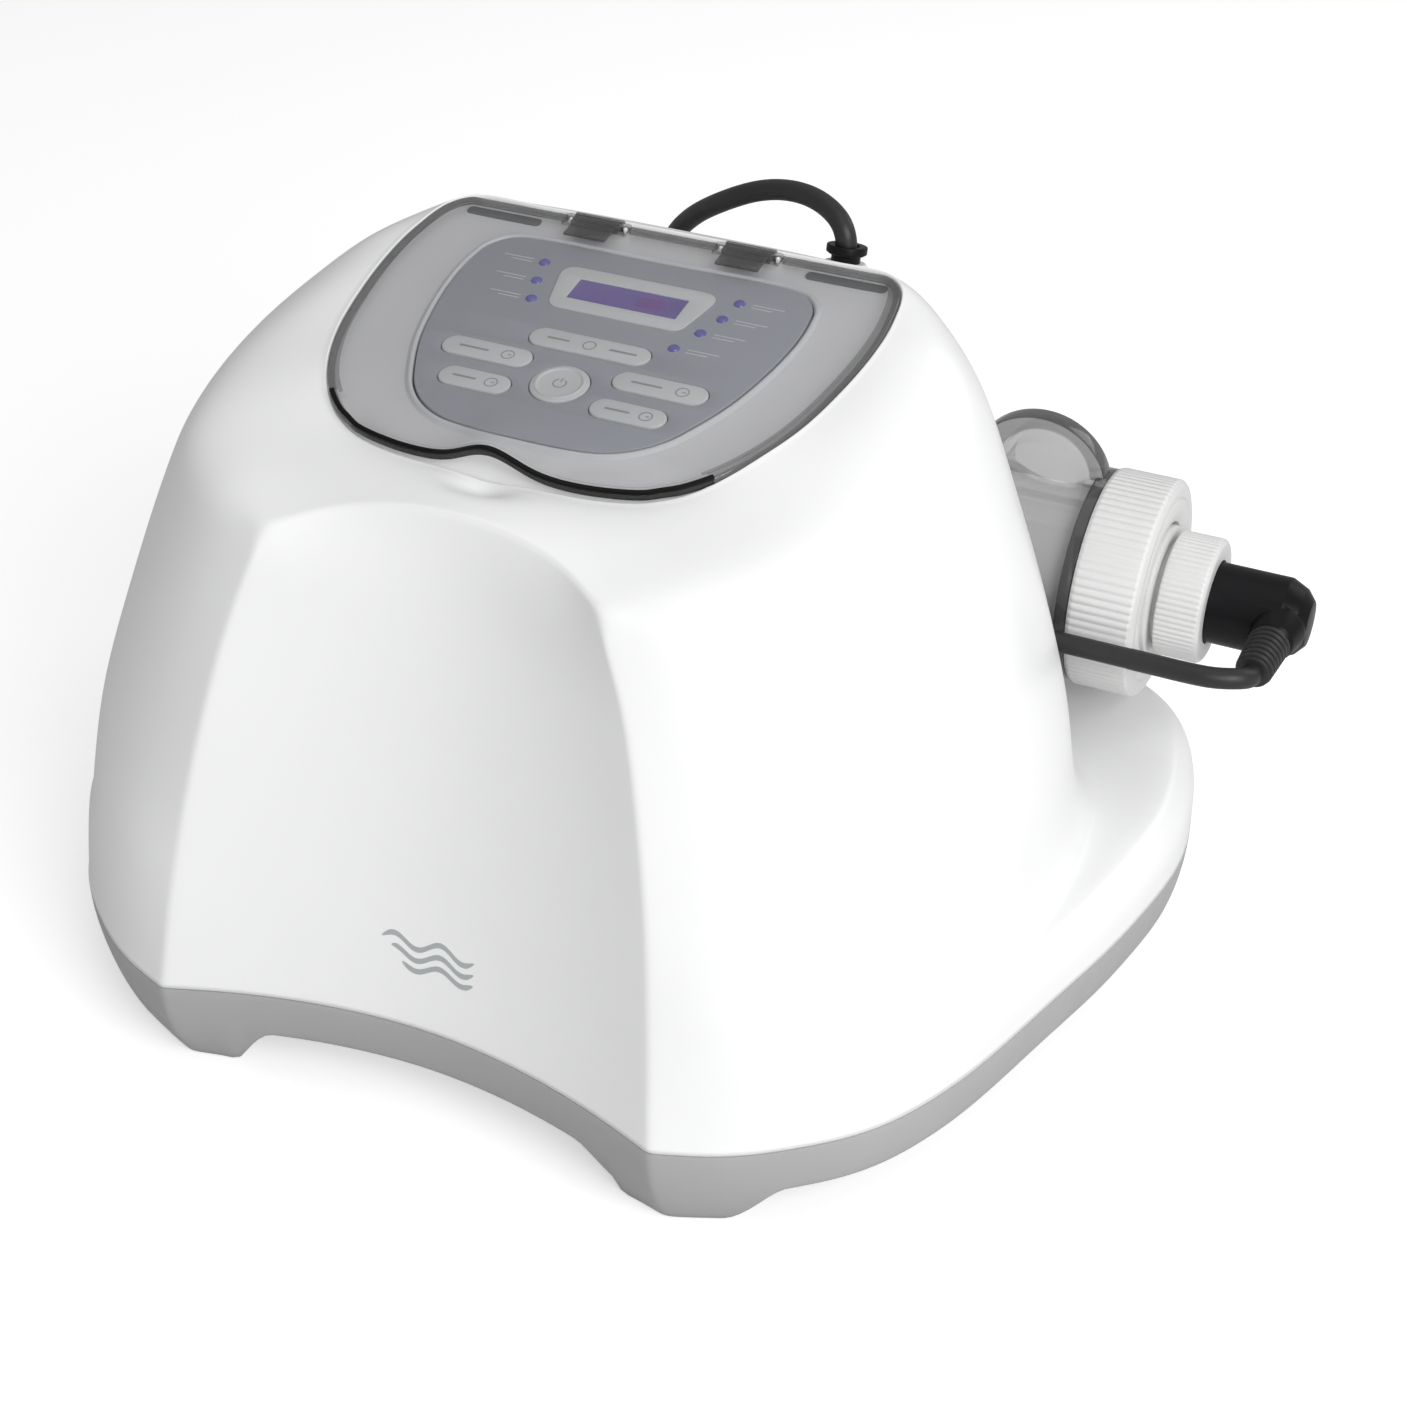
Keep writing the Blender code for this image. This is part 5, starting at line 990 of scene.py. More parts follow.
install(plate("display_patch", [patch], 0.00012, 0.00024, MAT["lcd_patch"], PANEL, 0.00003))
for tag, side in SIDES.items():
    for k, (x, y) in enumerate(LAMPS[tag], 1):
        install(lathe(f"lamp_{tag}_{k}", LAMP_PROFILE, MAT["led"], PANEL @ shift(x, y, 0), 32,
                      corner=0.0002))
        # two pale rules beside each lamp
        for letter, dy, length in (("a", 0.0009, 0.0125), ("b", -0.0009, 0.0085)):
            x0 = x + side * 0.0050
            rule = rect(x0, y + dy - 0.0002, x0 + side * length, y + dy + 0.0002)[::side]
            install(plate(f"rule_{tag}_{k}_{letter}", [fillet(rule, 0.0002, 2)],
                          -0.0001, 0.00008, MAT["key"], PANEL, 0.00003))


def mark(name, outlines, key, x, y, up=0.00050):
    """A thin print on a key, its face just above height `up`."""
    install(plate(name, outlines, up - 0.0001, up + 0.00008, MAT["mark"],
                  PANEL @ shift(x, y, 0), 0.00003), key)


def bar(x0, x1, half_height=0.00055):
    return [fillet(rect(x0, -half_height, x1, half_height), half_height, 3)]


def print_ring(x):
    return [circle(x, 0, 0.0026, 28), circle(x, 0, 0.0021, 28)]


for key, (x, y, half) in KEYS.items():
    install(plate("cap_" + key, [pill(0, 0, half, PILL_H / 2, 18)], -0.0034, 0.0005,
                  MAT["key"], PANEL @ shift(x, y, 0), 0.0006), key, key)
    if key == "key_mode":
        mark("print_mode_bar_1", bar(-0.0170, -0.0080), key, x, y)
        mark("print_mode_ring", print_ring(0), key, x, y)
        mark("print_mode_bar_2", bar(0.0080, 0.0190), key, x, y)
    else:
        tag, ring_x = key[4:], half * 0.48
        mark("print_bar_" + tag, bar(-half * 0.62, half * 0.05), key, x, y)
        mark("print_ring_" + tag, print_ring(ring_x), key, x, y)
        mark("print_hand_" + tag, bar(ring_x - 0.0001, ring_x + 0.0014, 0.00028), key, x, y)

POWER_PROFILE = [
    (0, 0.0003), (0.0070, 0.0003), (0.0079, 0.0004), (0.0083, 0.0008), (0.0089, 0.0009),
    (0.0093, 0.0005), (0.0100, 0.0004), (POWER_R, 0.0001), (POWER_R, -0.0034),
    (0.0022, -0.0034), (0.0022, -0.0075), (0, -0.0075)]
install(lathe("cap_key_power", POWER_PROFILE, MAT["key"], PANEL @ shift(*POWER_AT, 0.0), 72,
              corner=0.0003, steps=3), "key_power", "key_power")
sweep = [math.radians(120) + math.radians(300) * i / 30 for i in range(31)]
arc = ([(0.0026 * math.cos(a), 0.0026 * math.sin(a)) for a in sweep]
       + [(0.0021 * math.cos(a), 0.0021 * math.sin(a)) for a in sweep[::-1]])
mark("print_power_arc", [arc], "key_power", *POWER_AT, 0.0003)
mark("print_power_stem", [fillet(rect(-0.00025, 0.0008, 0.00025, 0.0031), 0.0002, 2)],
     "key_power", *POWER_AT, 0.0003)

# ---------------------------------------------------------------- lid
LID_GAP = 0.0012                             # between the rim and the lid's edge
LID_STATIONS = [0, 1, 2, 3, 3.5, *range(4, 15)]
LID_BACK = PANEL_Y + 0.0001 * TILT_COS
FRONT_EDGE = -0.0650                         # the lid's front part lies before this y
# lid section: distance inside the edge, drop below the top
LID_RIM = [(0.0028, 0.0016), (0.0024, 0.0026), (0.0016, 0.0031), (0.0004, 0.0030),
           (0.0, 0.0026), (0.0, 0.0010), (0.0003, 0.0004), (0.0008, 0.0001), (0.0016, 0.0),
           (0.0031, 0.0)]
LID_GROOVE = [(0.0032, 0.0), (0.0033, 0.00025), (0.0044, 0.00025), (0.0045, 0.0)]
LID_FIELD, LID_FIELD_THICK = 0.0046, 0.0016
LID_SCALES = [1.0, 0.93, 0.88, 0.82, 0.76, 0.70, 0.62, 0.54, 0.45, 0.35, 0.24, 0.12, 0.02]


def lid_up(x, y):
    """The lid's top, with a soft finger lift at the middle of the front edge."""
    lift = 0.0082 * np.exp(-((x / 0.0145) ** 2)) * ease(-y, 0.046, 0.082)
    return LID_TOP - 0.0015 * ease(-y, 0.050, 0.084) + lift


outline = shell_row(NET[-1], LID_STATIONS)
outline = outline[:, :2] + inward(outline) * LID_GAP
outline[:, 1] = np.minimum(outline[:, 1], LID_BACK)
outline[[0, -1], 0] = 0.0
outline = np.vstack([outline[1] * MIRROR[:2], outline])
lid_edge = spline(outline, np.linspace(1, len(outline) - 1, 140))
lid_edge[0, 0] = 0.0
lid_edge = np.column_stack([np.maximum(lid_edge[:, 0], 0.0),
                            np.minimum(lid_edge[:, 1], LID_BACK)])
lid_edge_in = inward(lid_edge)


def lid_ring(inset, drop, scale=1.0):
    """Ring in the panel's frame, `inset` from the edge, `drop` below the top."""
    x, y = (lid_edge + lid_edge_in * inset).T
    y = np.minimum(y, LID_BACK - inset * 0.9)
    x, y = x * scale, CENTRE_Y + (y - CENTRE_Y) * scale
    up = lid_up(x, y) - drop
    x = np.where(lid_edge[:, 0] > 0, np.maximum(x, 0.0), 0.0)
    x[[0, -1]] = 0.0
    return full_ring(np.column_stack([x, (y - PANEL_Y) / TILT_COS, up]))


def build_lid():
    rings = [lid_ring(inset, drop) for inset, drop in LID_RIM + LID_GROOVE]
    rings += [lid_ring(LID_FIELD, 0.0, scale) for scale in LID_SCALES]
    top_rows = len(rings)
    rings += [lid_ring(LID_FIELD, LID_FIELD_THICK, scale) for scale in reversed(LID_SCALES)]
    cols = len(rings[0])
    faces = []
    for k in range(len(rings)):
        if k == top_rows - 1:       # the top and underside each close with a cap
            continue
        a, b = k * cols, ((k + 1) % len(rings)) * cols
        for i in range(cols):
            j = (i + 1) % cols
            faces.append((a + i, a + j, b + j, b + i))
    faces.append(tuple((top_rows - 1) * cols + i for i in range(cols)))
    faces.append(tuple(top_rows * cols + cols - 1 - i for i in range(cols)))
    verts = [PANEL @ Vector(p) for r in rings for p in r]
    lid = add("lid_cover", verts, faces, [MAT["lid"], MAT["lid_skirt"], MAT["lid_edge"]])
    # skirt and groove have their own tints, but the front's upper side is all clear
    zones = [1] * len(LID_RIM) + [2] * len(LID_GROOVE)
    zones += [0] * (len(rings) - len(zones))
    for face in lid.data.polygons:
        row = face.index // cols
        front_top = row >= 7 and face.center.y < FRONT_EDGE
        face.material_index = 0 if front_top else zones[row]
    outward(lid)
    return lid


CLIP_X = 0.0316
lid = build_lid()
combine(lid, [box("notch", (0.0272, 0.0130, 0.0120), MAT["lid_edge"],
                  PANEL @ shift(side * CLIP_X, 0.0008, HINGE_UP)) for side in (-1, 1)])
shade(lid, 40)
install(lid, "lid", "lid")


def front_sweep(name, section):
    """Sweeps a section of (inset, height above the lid's top) along the front edge."""
    last = max(i for i, (x, y) in enumerate(lid_edge) if y < FRONT_EDGE)
    rows = []
    for i, sign in [(i, -1) for i in range(last, 0, -1)] + [(i, 1) for i in range(last + 1)]:
        row = []
        for inset, up in section:
            x, y = lid_edge[i] + lid_edge_in[i] * inset
            row.append(PANEL @ Vector((x * sign, (y - PANEL_Y) / TILT_COS, lid_up(x, y) + up)))
        rows.append(row)
    o = add(name, *skin(rows, capped=True), [MAT["trim"]])
    outward(o)
    return o


# a glossy black strip below the lid's front edge, and a thin bead on top of it
install(front_sweep("lid_strip", (
    (0.0006, -0.0034), (0.0005, -0.0031), (0.0005, -0.0020), (0.0021, -0.0019),
    (0.0022, -0.0021), (0.0022, -0.0031), (0.0019, -0.0034))),
    "lid", "lid_front_trim")
install(front_sweep("lid_band", (
    (0.0001, -0.0008), (0.0001, -0.0001), (0.0004, 0.00018), (0.0014, 0.00026),
    (0.0019, 0.00012), (0.0020, -0.0001))), "lid")

for tag, side in SIDES.items():
    hinge = PANEL @ shift(side * CLIP_X, 0.0, HINGE_UP)
    clip = box("clip_" + tag, (0.0200, 0.0052, 0.0026), MAT["clip"],
               hinge @ shift(0, -0.0028, 0.0006), 0.0006)
    pad = box("pad", (0.0176, 0.0130, 0.0013), MAT["clip"],
              hinge @ shift(0, -0.0074, 0.0014), 0.0005)
    combine(clip, [pad], "UNION")
    barrel = rod("barrel", 0.0022, -0.0100, 0.0100, MAT["clip"], hinge @ ALONG_X, 40, 0.0003)
    combine(clip, [barrel], "UNION")
    combine(clip, [rod("bore", 0.0014, -0.0200, 0.0200, MAT["clip"], hinge @ ALONG_X, 32)])
    shade(clip, 35)
    install(clip, "lid", "hinge_clip_" + tag)
    # painted shadow: a dark plate on the tray floor, standing in for the shade under the lid's
    # rear corner
    slot = fillet(rect(-0.0160, -0.0022, 0.0160, 0.0022), 0.0020, 6)
    install(plate("drain_slot_" + tag, [slot], TRAY_FLOOR - 0.0004, TRAY_FLOOR + 0.0003,
                  MAT["slot"], PANEL @ shift(side * 0.0715, -0.0040, 0), 0.0001))
    # hinge ears on the shell, standing up behind the panel
    for ear_x in (0.0200, 0.0432):
        install(box(f"ear_{tag}_{int(ear_x * 1000)}", (0.0019, 0.0050, 0.0046), MAT["shell"],
                    PANEL @ shift(side * ear_x, 0.0004, HINGE_UP - 0.0019), 0.0008, 4))

# ---------------------------------------------------------------- electrolytic cell
HOUSING_PROFILE = [
    (0.0432, CELL_END), (0.0432, 0.1603), (0.0468, 0.1602), (0.0468, 0.1556),
    (CELL_R, 0.1548, 0.0012), (CELL_R, -0.1578, 0.0012), (0.0468, -0.1586), (0.0468, -0.1632),
    (0.0432, -0.1633), (0.0432, -CELL_END), (CELL_BORE, -CELL_END), (CELL_BORE, CELL_END)]
PORT_PROFILE = [
    (0, PORT_FRONT), (0.0288, PORT_FRONT), (0.0288, PORT_FRONT + 0.0080),
    (PORT_R, PORT_FRONT + 0.0084, 0.0008), (PORT_R, PORT_BACK, 0.0012), (0, PORT_BACK)]
housing = lathe("cell_body", HOUSING_PROFILE, MAT["cell"], CELL, 112)
port_frames = [shift(side * PORT_X, 0, PORT_Z) @ ALONG_Y for side in (-1, 1)]
combine(housing, [lathe("port", PORT_PROFILE, MAT["cell"], place, 96, corner=0.0005)
                  for place in port_frames], "UNION")
bores = [rod("bore", CELL_BORE, -0.20, 0.20, MAT["cell"], CELL, 112)]
bores += [rod("bore", PORT_BORE, PORT_FRONT + 0.0030, PORT_BACK + 0.02, MAT["cell"], place, 96)
          for place in port_frames]
combine(housing, bores)
housing.data.materials.clear()
for key in ("cell", "cell_edge", "port", "clear"):
    housing.data.materials.append(MAT[key])


def housing_zone(center, normal):
    """Material index: 0 tube, 1 flanges and port rims, 2 port collars, 3 port tubes."""
    x, y, z = center
    from_axis = math.hypot(y - CELL_Y, z - CELL_Z)
    from_port = min(math.hypot(x - side * PORT_X, z - PORT_Z) for side in (-1, 1))
    outside = from_axis > 0.0392 * CELL_SCALE
    flange = 0.1544 < x < 0.1615 or -0.1645 < x < -0.1574
    if flange and from_axis > 0.0408 * CELL_SCALE:
        return 1
    collar_back = PORT_FRONT + 0.0086
    if PORT_FRONT - 0.0002 < y < collar_back and 0.0262 < from_port < 0.0290 and outside:
        return 1
    port_seat = abs(normal.y) > 0.9 and y < PORT_FRONT + 0.002
    if y > PORT_FRONT + 0.0015 and from_port < PORT_R + 0.0005 and not port_seat:
        return 3
    if PORT_FRONT - 0.0010 < y < collar_back and from_port < 0.0289 and outside:
        return 2
    return 0


for face in housing.data.polygons:
    face.material_index = housing_zone(face.center, face.normal)
shade(housing, 40)
install(housing, part="cell_housing")


def ribs(count, depth, low, high, band):
    """Ripple for lathe: fine ribs beyond radius `band`, between two heights."""
    def ripple(radius, height, angle):
        if radius < band or not low < height < high:
            return 0.0
        return -depth * (0.5 - 0.5 * math.cos(count * angle)) ** 1.5
    return ripple


def pin_holes(mat, frame, z0, z1):
    """Cutters for the three contact pins."""
    return [rod("pin_hole", 0.0016, z0, z1, mat,
                shift(0, dy * CELL_SCALE, dz * CELL_SCALE) @ frame, 24)
            for dy, dz in ((0.0, 0.0072), (0.0062, -0.0036), (-0.0062, -0.0036))]


CAP_PROFILE = [
    (0, 0.1945), (0.0140, 0.1945), (0.0140, 0.2030), (0.0212, 0.2030), (0.0212, 0.1880),
    (0.0285, 0.1876), (0.0285, 0.1790), (0.0425, 0.1790), (0.0425, CELL_END + 0.0003),
    (0.0368, CELL_END + 0.0003), (0.0368, 0.1690), (0.0338, 0.1690), (0.0338, 0.1640),
    (0.0368, 0.1640), (0.0368, 0.1540), (0, 0.1540)]
cap = lathe("end_cap", CAP_PROFILE, MAT["nut"], CELL, 96)
plate_slots = [box("plate_slot", (0.0080, 0.0018 * CELL_SCALE, 0.0520 * CELL_SCALE), MAT["nut"],
                   shift(0.1540, CELL_Y + dy * CELL_SCALE, CELL_Z))
               for dy in (-0.0160, -0.0080, 0.0, 0.0080, 0.0160)]
combine(cap, plate_slots + pin_holes(MAT["nut"], CELL, 0.19, 0.198))
shade(cap, 40)
install(cap, "electrode", "electrode_cap")

WASHER_PROFILE = [(0.0425, 0.1807), (0.0425, 0.1793), (0.0300, 0.1793), (0.0300, 0.1807)]
COLLAR_PROFILE = [
    (0.0300, 0.1865), (0.0345, 0.1872), (0.0395, 0.1872), (0.0400, 0.1866), (0.0405, 0.1872),
    (0.0440, 0.1872, 0.0016), (NUT_R - 0.0012, 0.1862), (NUT_R, 0.1850), (NUT_R, 0.1800),
    (NUT_R, 0.1700), (NUT_R, 0.1622), (0.0472, 0.1606), (0.0437, 0.1606), (0.0437, 0.1810),
    (0.0300, 0.1810)]
SENSOR_RING_PROFILE = [
    (0.0437, -0.1636), (0.0472, -0.1636), (NUT_R, -0.1652), (NUT_R, -0.1740), (NUT_R, -0.1850),
    (0.0440, -0.1872, 0.0016), (0.0405, -0.1872), (0.0400, -0.1866), (0.0395, -0.1871),
    (0.0300, -0.1865), (0.0300, -0.1795), (0.0437, -0.1795)]
CONNECTOR_PROFILE = [
    (0.0170, 0.2085), (0.0212, 0.2085), (0.0236, 0.2085, 0.0008), (0.0249, 0.2076),
    (0.0254, 0.2066), (0.0254, 0.2030), (0.0254, 0.1970), (0.0254, 0.1912), (0.0248, 0.1905),
    (0.0208, 0.1905), (0.0208, 0.2061), (0.0170, 0.2061)]
install(lathe("washer_seal", WASHER_PROFILE, MAT["seal"], CELL, 96, corner=0.0003),
        "collar_carrier", "thrust_washer")
install(lathe("collar_ribbed", COLLAR_PROFILE, MAT["nut"], CELL, 1008,
              ripple=ribs(84, 0.00055, 0.1610, 0.1858, 0.0466)),
        "collar", "collar_nut")
install(lathe("sensor_ring_ribbed", SENSOR_RING_PROFILE, MAT["nut"], CELL, 1008,
              ripple=ribs(84, 0.00055, -0.1858, -0.1640, 0.0466)),
        "sensor_ring", "sensor_ring")
install(lathe("connector_ribbed", CONNECTOR_PROFILE, MAT["nut"], CELL_AXIS, 640, corner=0.0003,
              ripple=ribs(64, 0.0005, 0.1908, 0.2072, 0.0248)),
        "ring", "connector_ring")

# ---------------------------------------------------------------- cell plug and its cables
BOOT_A = Vector((0.2360, CELL_Y - 0.0080, CELL_Z + 0.0005))
BOOT_B = Vector((0.2345, 0.0800, 0.1270))
boot_dir = (BOOT_B - BOOT_A).normalized()
boot_turn = boot_dir.to_track_quat("Z", "Y").to_matrix().to_4x4()
boot_start = BOOT_A + boot_dir * 0.0118
PLUG_PROFILE = [
    (0, 0.2470), (0.0090, 0.2466, 0.0012), (0.0132, 0.2430, 0.0012), (PLUG_R, 0.2365, 0.0020),
    (PLUG_R, 0.2058), (0.0192, 0.2056), (0.0192, 0.2033), (0.0124, 0.2033), (0.0124, 0.2000),
    (0, 0.2000)]
HEAD_PROFILE = [(0, 0.0092), (0.0074, 0.0092, 0.0010), (0.0090, 0.0070, 0.0015),
                (0.0108, -0.0020, 0.0015), (0.0104, -0.0075), (0, -0.0075)]
plug = lathe("plug_shell", PLUG_PROFILE, MAT["black"], CELL_AXIS, 80)
head = lathe("head", HEAD_PROFILE, MAT["black"],
             Matrix.Translation(BOOT_A + boot_dir * 0.0040) @ boot_turn, 56)
combine(plug, [head], "UNION")
combine(plug, pin_holes(MAT["black"], CELL_AXIS, 0.196, 0.202))
shade(plug, 40)
install(plug, "plug", "cell_plug")


def boot_profile(length):
    """A tapering sleeve with a rib every 3 mm."""
    profile = [(0, 0.0002), (0.0060, 0.0002)]
    h = 0.0012
    while h < length - 0.0026:
        rib = 0.0083 - 0.0012 * h / length
        groove = rib - 0.0014
        profile += [(rib, h, 0.0004), (rib, h + 0.0015, 0.0004),
                    (groove, h + 0.0018, 0.0002), (groove, h + 0.0026, 0.0002)]
        h += 0.0030
    return profile + [(0.0068, h), (0.0066, length - 0.0002), (0.0058, length), (0, length)]


install(lathe("boot_ribbed", boot_profile((BOOT_B - boot_start).length), MAT["rubber"],
              Matrix.Translation(boot_start) @ boot_turn, 48, corner=0.0002),
        "plug")


def gland_line(*xs):
    """Points straight along X through the cell cable's gland."""
    return [(x, CABLE_Y, CABLE_Z) for x in xs]


bend_points = [tuple(BOOT_B - boot_dir * 0.0020), tuple(BOOT_B + boot_dir * 0.0030),
               (0.2310, 0.0718, 0.1283), (0.2220, 0.0680, 0.1285),
               *gland_line(0.2110, 0.2030, 0.1960, 0.1900)]
install(pipe("cable_bend", cable_path(bend_points, 10, 8, 0.0012), 0.00412, MAT["rubber"], 32),
        "plug", "plug_boot")
run_points = gland_line(0.2035, 0.1900, 0.1700, 0.1600, 0.1480, 0.1340) + [
    (0.1240, 0.0640, 0.1275), (0.1120, 0.0560, 0.1200)]
cable_run = pipe("cable_run", cable_path(run_points, 10, 6, 0.0015), 0.00400, MAT["rubber"], 32)
install(cable_run, None, "cell_cable")
CELL_GLAND_PROFILE = [
    (0.0058, 0.0080), (0.0064, 0.0040), (0.0066, 0.0010), (0.0058, -0.0010), (0.0058, -0.0100),
    (CABLE_R + 0.0005, -0.0100), (CABLE_R + 0.0005, 0.0080)]
install(lathe("gland_cell", CELL_GLAND_PROFILE, MAT["rubber"],
              shift(GLAND_X + 0.0015, CABLE_Y, CABLE_Z) @ ALONG_X, 48),
        part="cell_cable_gland")
sensor_points = [
    (-0.2008, CELL_Y, CELL_Z), (-0.2040, CELL_Y, CELL_Z), (-0.2075, CELL_Y - 0.004, CELL_Z),
    (-0.2110, CELL_Y - 0.022, CELL_Z + 0.001), (-0.2060, 0.0760, CABLE_Z),
    (-0.1900, 0.0680, CABLE_Z), *gland_line(-0.1720, -0.1300)]
install(pipe("cable_sensor", cable_path(sensor_points, 10, 4, 0.0015), 0.0028, MAT["rubber"], 24),
        part="sensor_cable")

# ---------------------------------------------------------------- mains side
GLAND_LEAN = math.radians(14)                # the gland leans to the back
gland_frame = Matrix.Translation(MAINS_GLAND) @ turn(-GLAND_LEAN, "X")
gland_dir = Vector((0, math.sin(GLAND_LEAN), math.cos(GLAND_LEAN)))
MAINS_GLAND_PROFILE = [
    (0.0078, 0.0128), (0.0078, 0.0100), (0.0068, 0.0093), (0.0056, 0.0088), (0.0054, -0.0040),
    (CORD_R + 0.0006, -0.0040), (CORD_R + 0.0006, 0.0128)]
BOSS_PROFILE = [(0, 0.0064), (0.0078, 0.0064), (0.0088, 0.0050), (0.0098, -0.0140), (0, -0.0140)]
install(lathe("gland_mains", MAINS_GLAND_PROFILE, MAT["black"], gland_frame, 56,
              corner=0.0005, steps=3), part="cord_gland")
install(lathe("cord_boss", BOSS_PROFILE, MAT["shell"], gland_frame, 64,
              corner=0.0010, steps=4))
cord_points = [tuple(MAINS_GLAND + gland_dir * t) for t in (-0.0150, 0.0, 0.0120)] + [
    (0.0600, 0.0845, 0.2745), (0.0538, 0.0905, 0.2770), (0.0434, 0.0975, 0.2785),
    (0.0289, 0.1050, 0.2768), (0.0142, 0.1100, 0.2722), (-0.0051, 0.1160, 0.2616),
    (-0.0206, 0.1230, 0.2500), (-0.0330, 0.1320, 0.2360), (-0.0460, 0.1480, 0.2130),
    (-0.0580, 0.1700, 0.1750), (-0.0660, 0.1850, 0.1250), (-0.0700, 0.1960, 0.0700),
    (-0.0680, 0.2080, 0.0280), (-0.0560, 0.2180, 0.0085), (-0.0350, 0.2240, 0.0046),
    (0.0000, 0.2240, 0.0046), (0.0210, 0.2222, 0.0060), (0.0420, 0.2160, 0.0125),
    (0.0600, 0.2090, 0.0172)]
cord_path = cable_path(cord_points, 12, 0, 0.0022)
for _ in range(6):
    cord_path[4:-2] += 0.5 * ((cord_path[3:-3] + cord_path[5:-1]) / 2 - cord_path[4:-2])
cord_path[:, 2] = np.maximum(cord_path[:, 2], 0.0042)       # rests on the floor
cord_path = np.vstack([cord_path[2:], cord_path[-1] + (cord_path[-1] - cord_path[-2]) * 2.0])
install(pipe("cord_mains", cord_path, CORD_R, MAT["rubber"], 32),
        part="mains_cord")

MAINS_PLUG_PROFILE = [
    (0, 0.0400), (0.0160, 0.0400), (0.0175, 0.0380), (0.0175, 0.0260, 0.0040),
    (0.0100, 0.0120, 0.0040), (0.0075, 0.0010), (0, 0.0010)]
PRONG_PROFILE = [(0, 0.0595), (0.0012, 0.0595), (0.0022, 0.0585), (0.0022, 0.0385), (0, 0.0385)]
plug_dir = (Vector(cord_points[-1]) - Vector(cord_points[-2])).normalized()
plug_at = Vector(cord_points[-1]) + plug_dir * 0.0006
plug_frame = shift(plug_at.x, plug_at.y, 0.0175) @ turn(math.atan2(plug_dir.y, plug_dir.x), "Z")
mains_plug = lathe("plug_mains", MAINS_PLUG_PROFILE, MAT["black"], plug_frame @ ALONG_X, 72,
                   corner=0.0006, steps=3)
shade(mains_plug, 40)
install(mains_plug, part="mains_plug")
for i, side in enumerate((-1, 1), 1):
    install(lathe(f"plug_prong_{i}", PRONG_PROFILE, MAT["steel"],
                  plug_frame @ shift(0, side * 0.0095, 0) @ ALONG_X, 40, corner=0.0003))

# ---------------------------------------------------------------- wave mark on the hollow front
WAVE_LENGTH, WAVE_STEPS = 0.019, 64
# left end x, middle z, amplitude
WAVES = ((-0.0190, 0.0765, 0.0022), (-0.0150, 0.0718, 0.0020), (-0.0105, 0.0674, 0.0018))


def on_shell(x, z):
    """Depth of the smoothed front face at (x, z), from the shell's own grid."""
    hits = []
    for row in grid[levels < 6.5]:
        xs, ys, zs = row[:corner_col + 1].T
        hits.append((np.interp(abs(x), xs, zs), np.interp(abs(x), xs, ys)))
    hits = np.array(hits)
    order = np.argsort(hits[:, 0])
    return float(np.interp(z, hits[order, 0], hits[order, 1]))


for w, (x0, middle_z, amplitude) in enumerate(WAVES, 1):
    rows = []
    for i in range(WAVE_STEPS + 1):
        f = i / WAVE_STEPS
        x = x0 + (WAVE_LENGTH - x0) * f
        z = middle_z + amplitude * math.sin(2 * math.pi * (x + WAVE_LENGTH) / WAVE_LENGTH)
        # half the stroke's height, tapering to both ends
        t = 0.00105 * min(1.0, math.sqrt(max(min(f, 1 - f), 0.0) * 12) + 0.05)
        rows.append([(x, on_shell(x, z + dz) + dy, z + dz)
                     for dz, dy in ((-t, 0.0004), (-t, -0.0001), (t, -0.0001), (t, 0.0004))])
    wave = add(f"wave_mark_{w}", *skin(rows, capped=True), [MAT["mark"]])
    outward(wave)
    install(wave)

# ---------------------------------------------------------------- looks of the remaining CAD parts
# name start, or else any part of the name: material, edge bevel
CAD_LOOK = {
    "cell_saddle": ("base", 0.0008), "plate_spacer": ("nut", 0.0002),
    "cap_oring": ("seal", 0.0003), "contact_pin": ("gold", 0.0002),
    "electrode_plate": ("titan", 0.0001), "hinge_pin": ("steel", 0.0002),
    "led_guide": ("guide", 0.0001), "flow_sensor": ("black", 0.0004),
    "flow_paddle": ("nut", 0.0002), "panel_gasket": ("seal", 0.0),
    "display_module": ("lcd_warm", 0.0003), "control_board": ("board", 0.0),
    "ribbon": ("ribbon", 0.0), "transformer_core": ("core", 0.0003),
    "transformer": ("tape", 0.0005), "coil": ("tape", 0.0005), "heat": ("alu", 0.0003),
    "capacitor": ("sleeve", 0.0006), "power_board": ("board", 0.0), "board": ("board", 0.0),
    "screw": ("steel", 0.0),
}
for o in list(bpy.data.objects):
    if o.type != "MESH" or o.name not in CAD_NODES or o.name in REPLACED:
        continue
    if not o.material_slots:
        continue
    matches = ([look for key, look in CAD_LOOK.items() if o.name.startswith(key)]
               or [look for key, look in CAD_LOOK.items() if key in o.name]
               or [("black", 0.0)])
    key, width = matches[0]
    for slot in o.material_slots:
        slot.material = MAT[key]
    if width:
        bevel = o.modifiers.new("edge", "BEVEL")
        bevel.width, bevel.segments = width, 2
        bevel.limit_method, bevel.angle_limit = "ANGLE", math.radians(38)

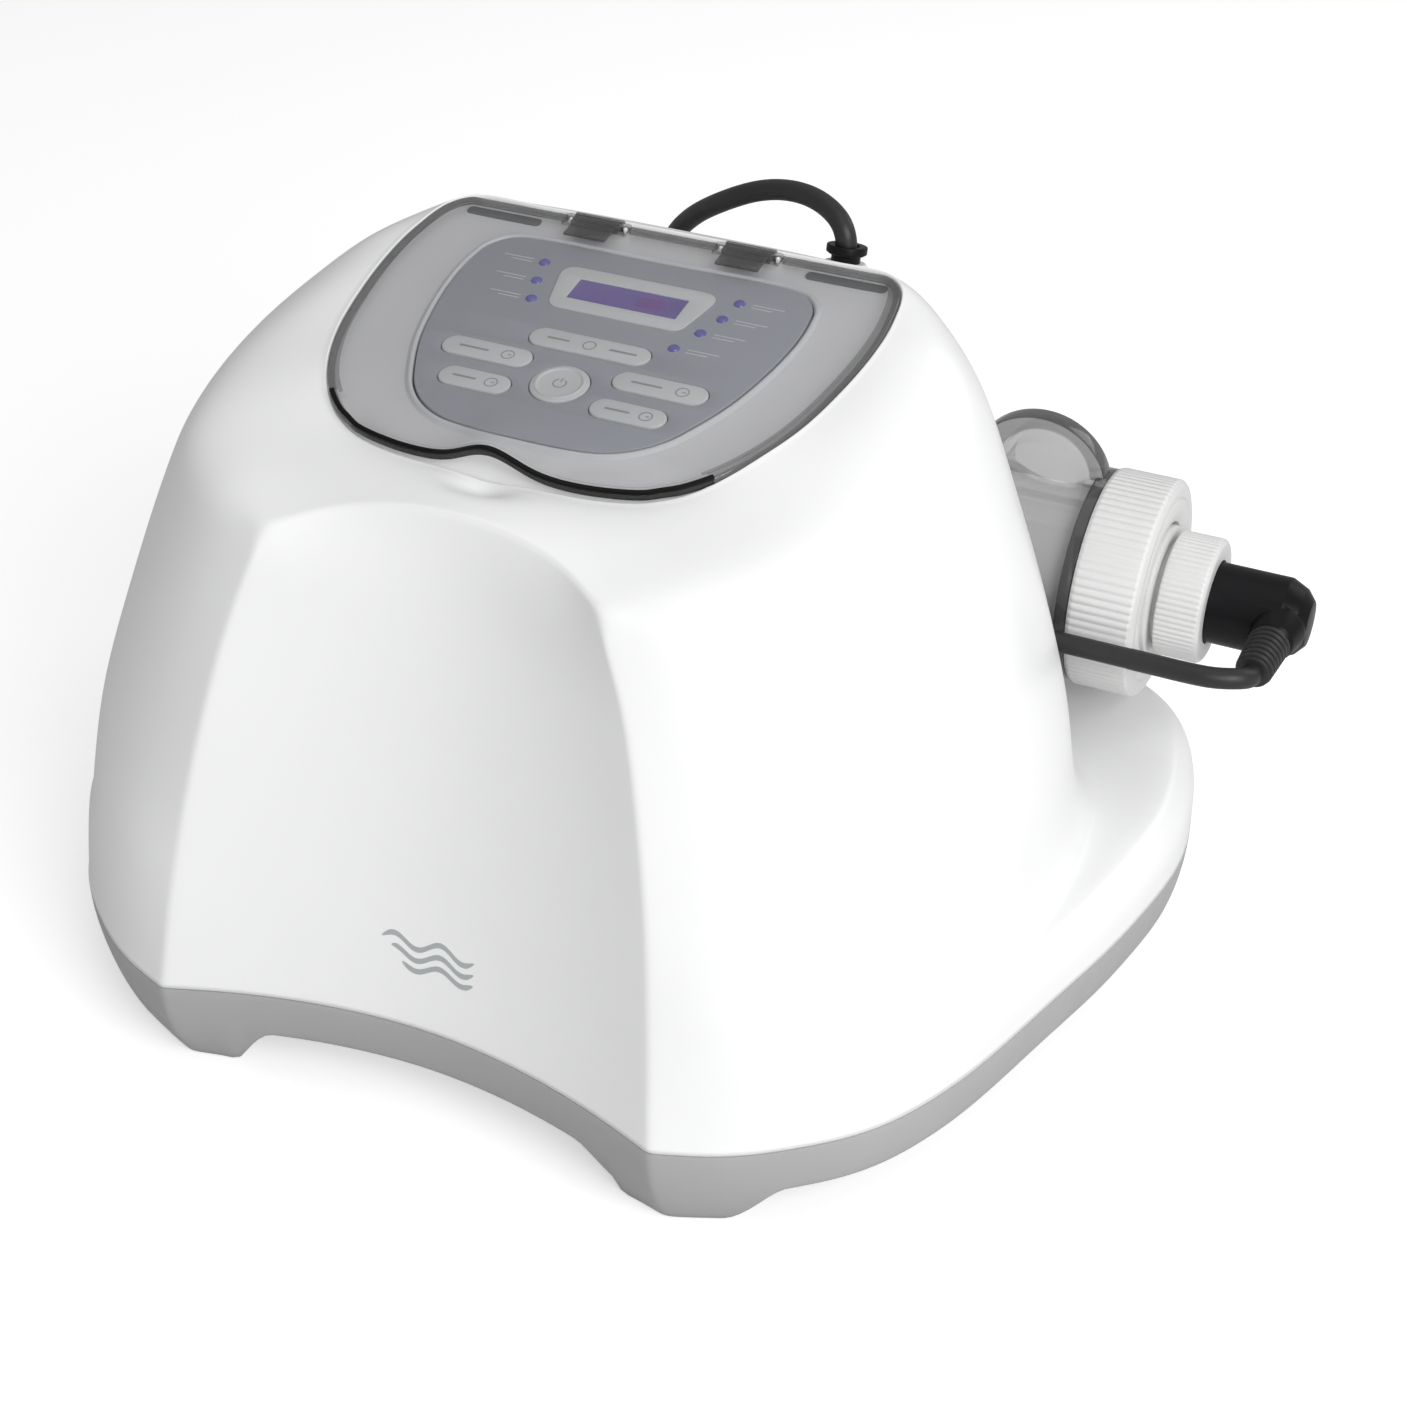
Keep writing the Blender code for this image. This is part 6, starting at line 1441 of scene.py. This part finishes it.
# ---------------------------------------------------------------- into the CAD's frame
for o in list(bpy.data.objects):
    if o.type == "MESH" and o.name not in CAD_NODES:
        o.data.transform(Matrix.Translation(CAD_OFFSET))
        o.data.update()
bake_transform(cable_run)


# ---------------------------------------------------------------- floor, light, camera
def floor_paper():
    """Matt paper that glows a little, for the camera only."""
    material, tree, bsdf = new_material("floor_paper")
    light_path = add_node(tree, "ShaderNodeLightPath")
    glow = add_node(tree, "ShaderNodeMath", {0: light_path.outputs["Is Camera Ray"], 1: 0.50})
    glow.operation = "MULTIPLY"
    set_inputs(bsdf, {"Base Color": (0.74, 0.74, 0.74, 1), "Emission Color": (1, 1, 1, 1),
                      "Emission Strength": glow.outputs[0], "Roughness": 0.9,
                      "Specular IOR Level": 0.1})
    return material


mesh = bpy.data.meshes.new("floor")
mesh.from_pydata([(-6, -5, 0), (6, -5, 0), (6, 6, 0), (-6, 6, 0)], [], [(0, 1, 2, 3)])
link_mesh("floor", mesh, [floor_paper()])

world = bpy.data.worlds.new("studio")
SCENE.world = world
world.use_nodes = True
set_inputs(world.node_tree.nodes["Background"], {"Color": (1.0, 1.0, 1.0, 1), "Strength": 0.39})


def area(name, at, target, size, power):
    light = bpy.data.lights.new(name, "AREA")
    light.energy = power
    light.shape = "RECTANGLE"
    light.size = light.size_y = size
    o = bpy.data.objects.new(name, light)
    SCENE.collection.objects.link(o)
    o.location = at
    o.rotation_euler = (Vector(target) - Vector(at)).to_track_quat("-Z", "Y").to_euler()


area("key_light", at=(1.35, -1.02, 1.12), target=(0.0, 0.0, 0.12), size=1.2, power=28.6)
area("top_soft", at=(0.0, 0.1, 1.9), target=(0.0, 0.0, 0.1), size=1.6, power=5.0)
area("rear_kick", at=(0.9, 1.2, 0.9), target=(0.0, 0.0, 0.15), size=0.8, power=3.0)

SCENE.view_settings.view_transform = "Standard"
SCENE.view_settings.look = "None"

CAMERA_AT = (0.36098, -0.75823, 0.65402)
AZIMUTH, ELEVATION = math.radians(25.32), math.radians(32.32)
lens = bpy.data.cameras.new("camera")
lens.sensor_width, lens.lens = 36.0, 63.97
lens.shift_x, lens.shift_y = 0.0203, -0.0636
lens.clip_start = 0.01
camera = bpy.data.objects.new("camera", lens)
SCENE.collection.objects.link(camera)
back = Vector((math.cos(ELEVATION) * math.sin(AZIMUTH),
               -math.cos(ELEVATION) * math.cos(AZIMUTH), math.sin(ELEVATION)))
right = Vector((math.cos(AZIMUTH), math.sin(AZIMUTH), 0))
axes = Matrix((right, back.cross(right), back)).transposed().to_4x4()
camera.matrix_world = Matrix.Translation(CAMERA_AT) @ axes
SCENE.camera = camera
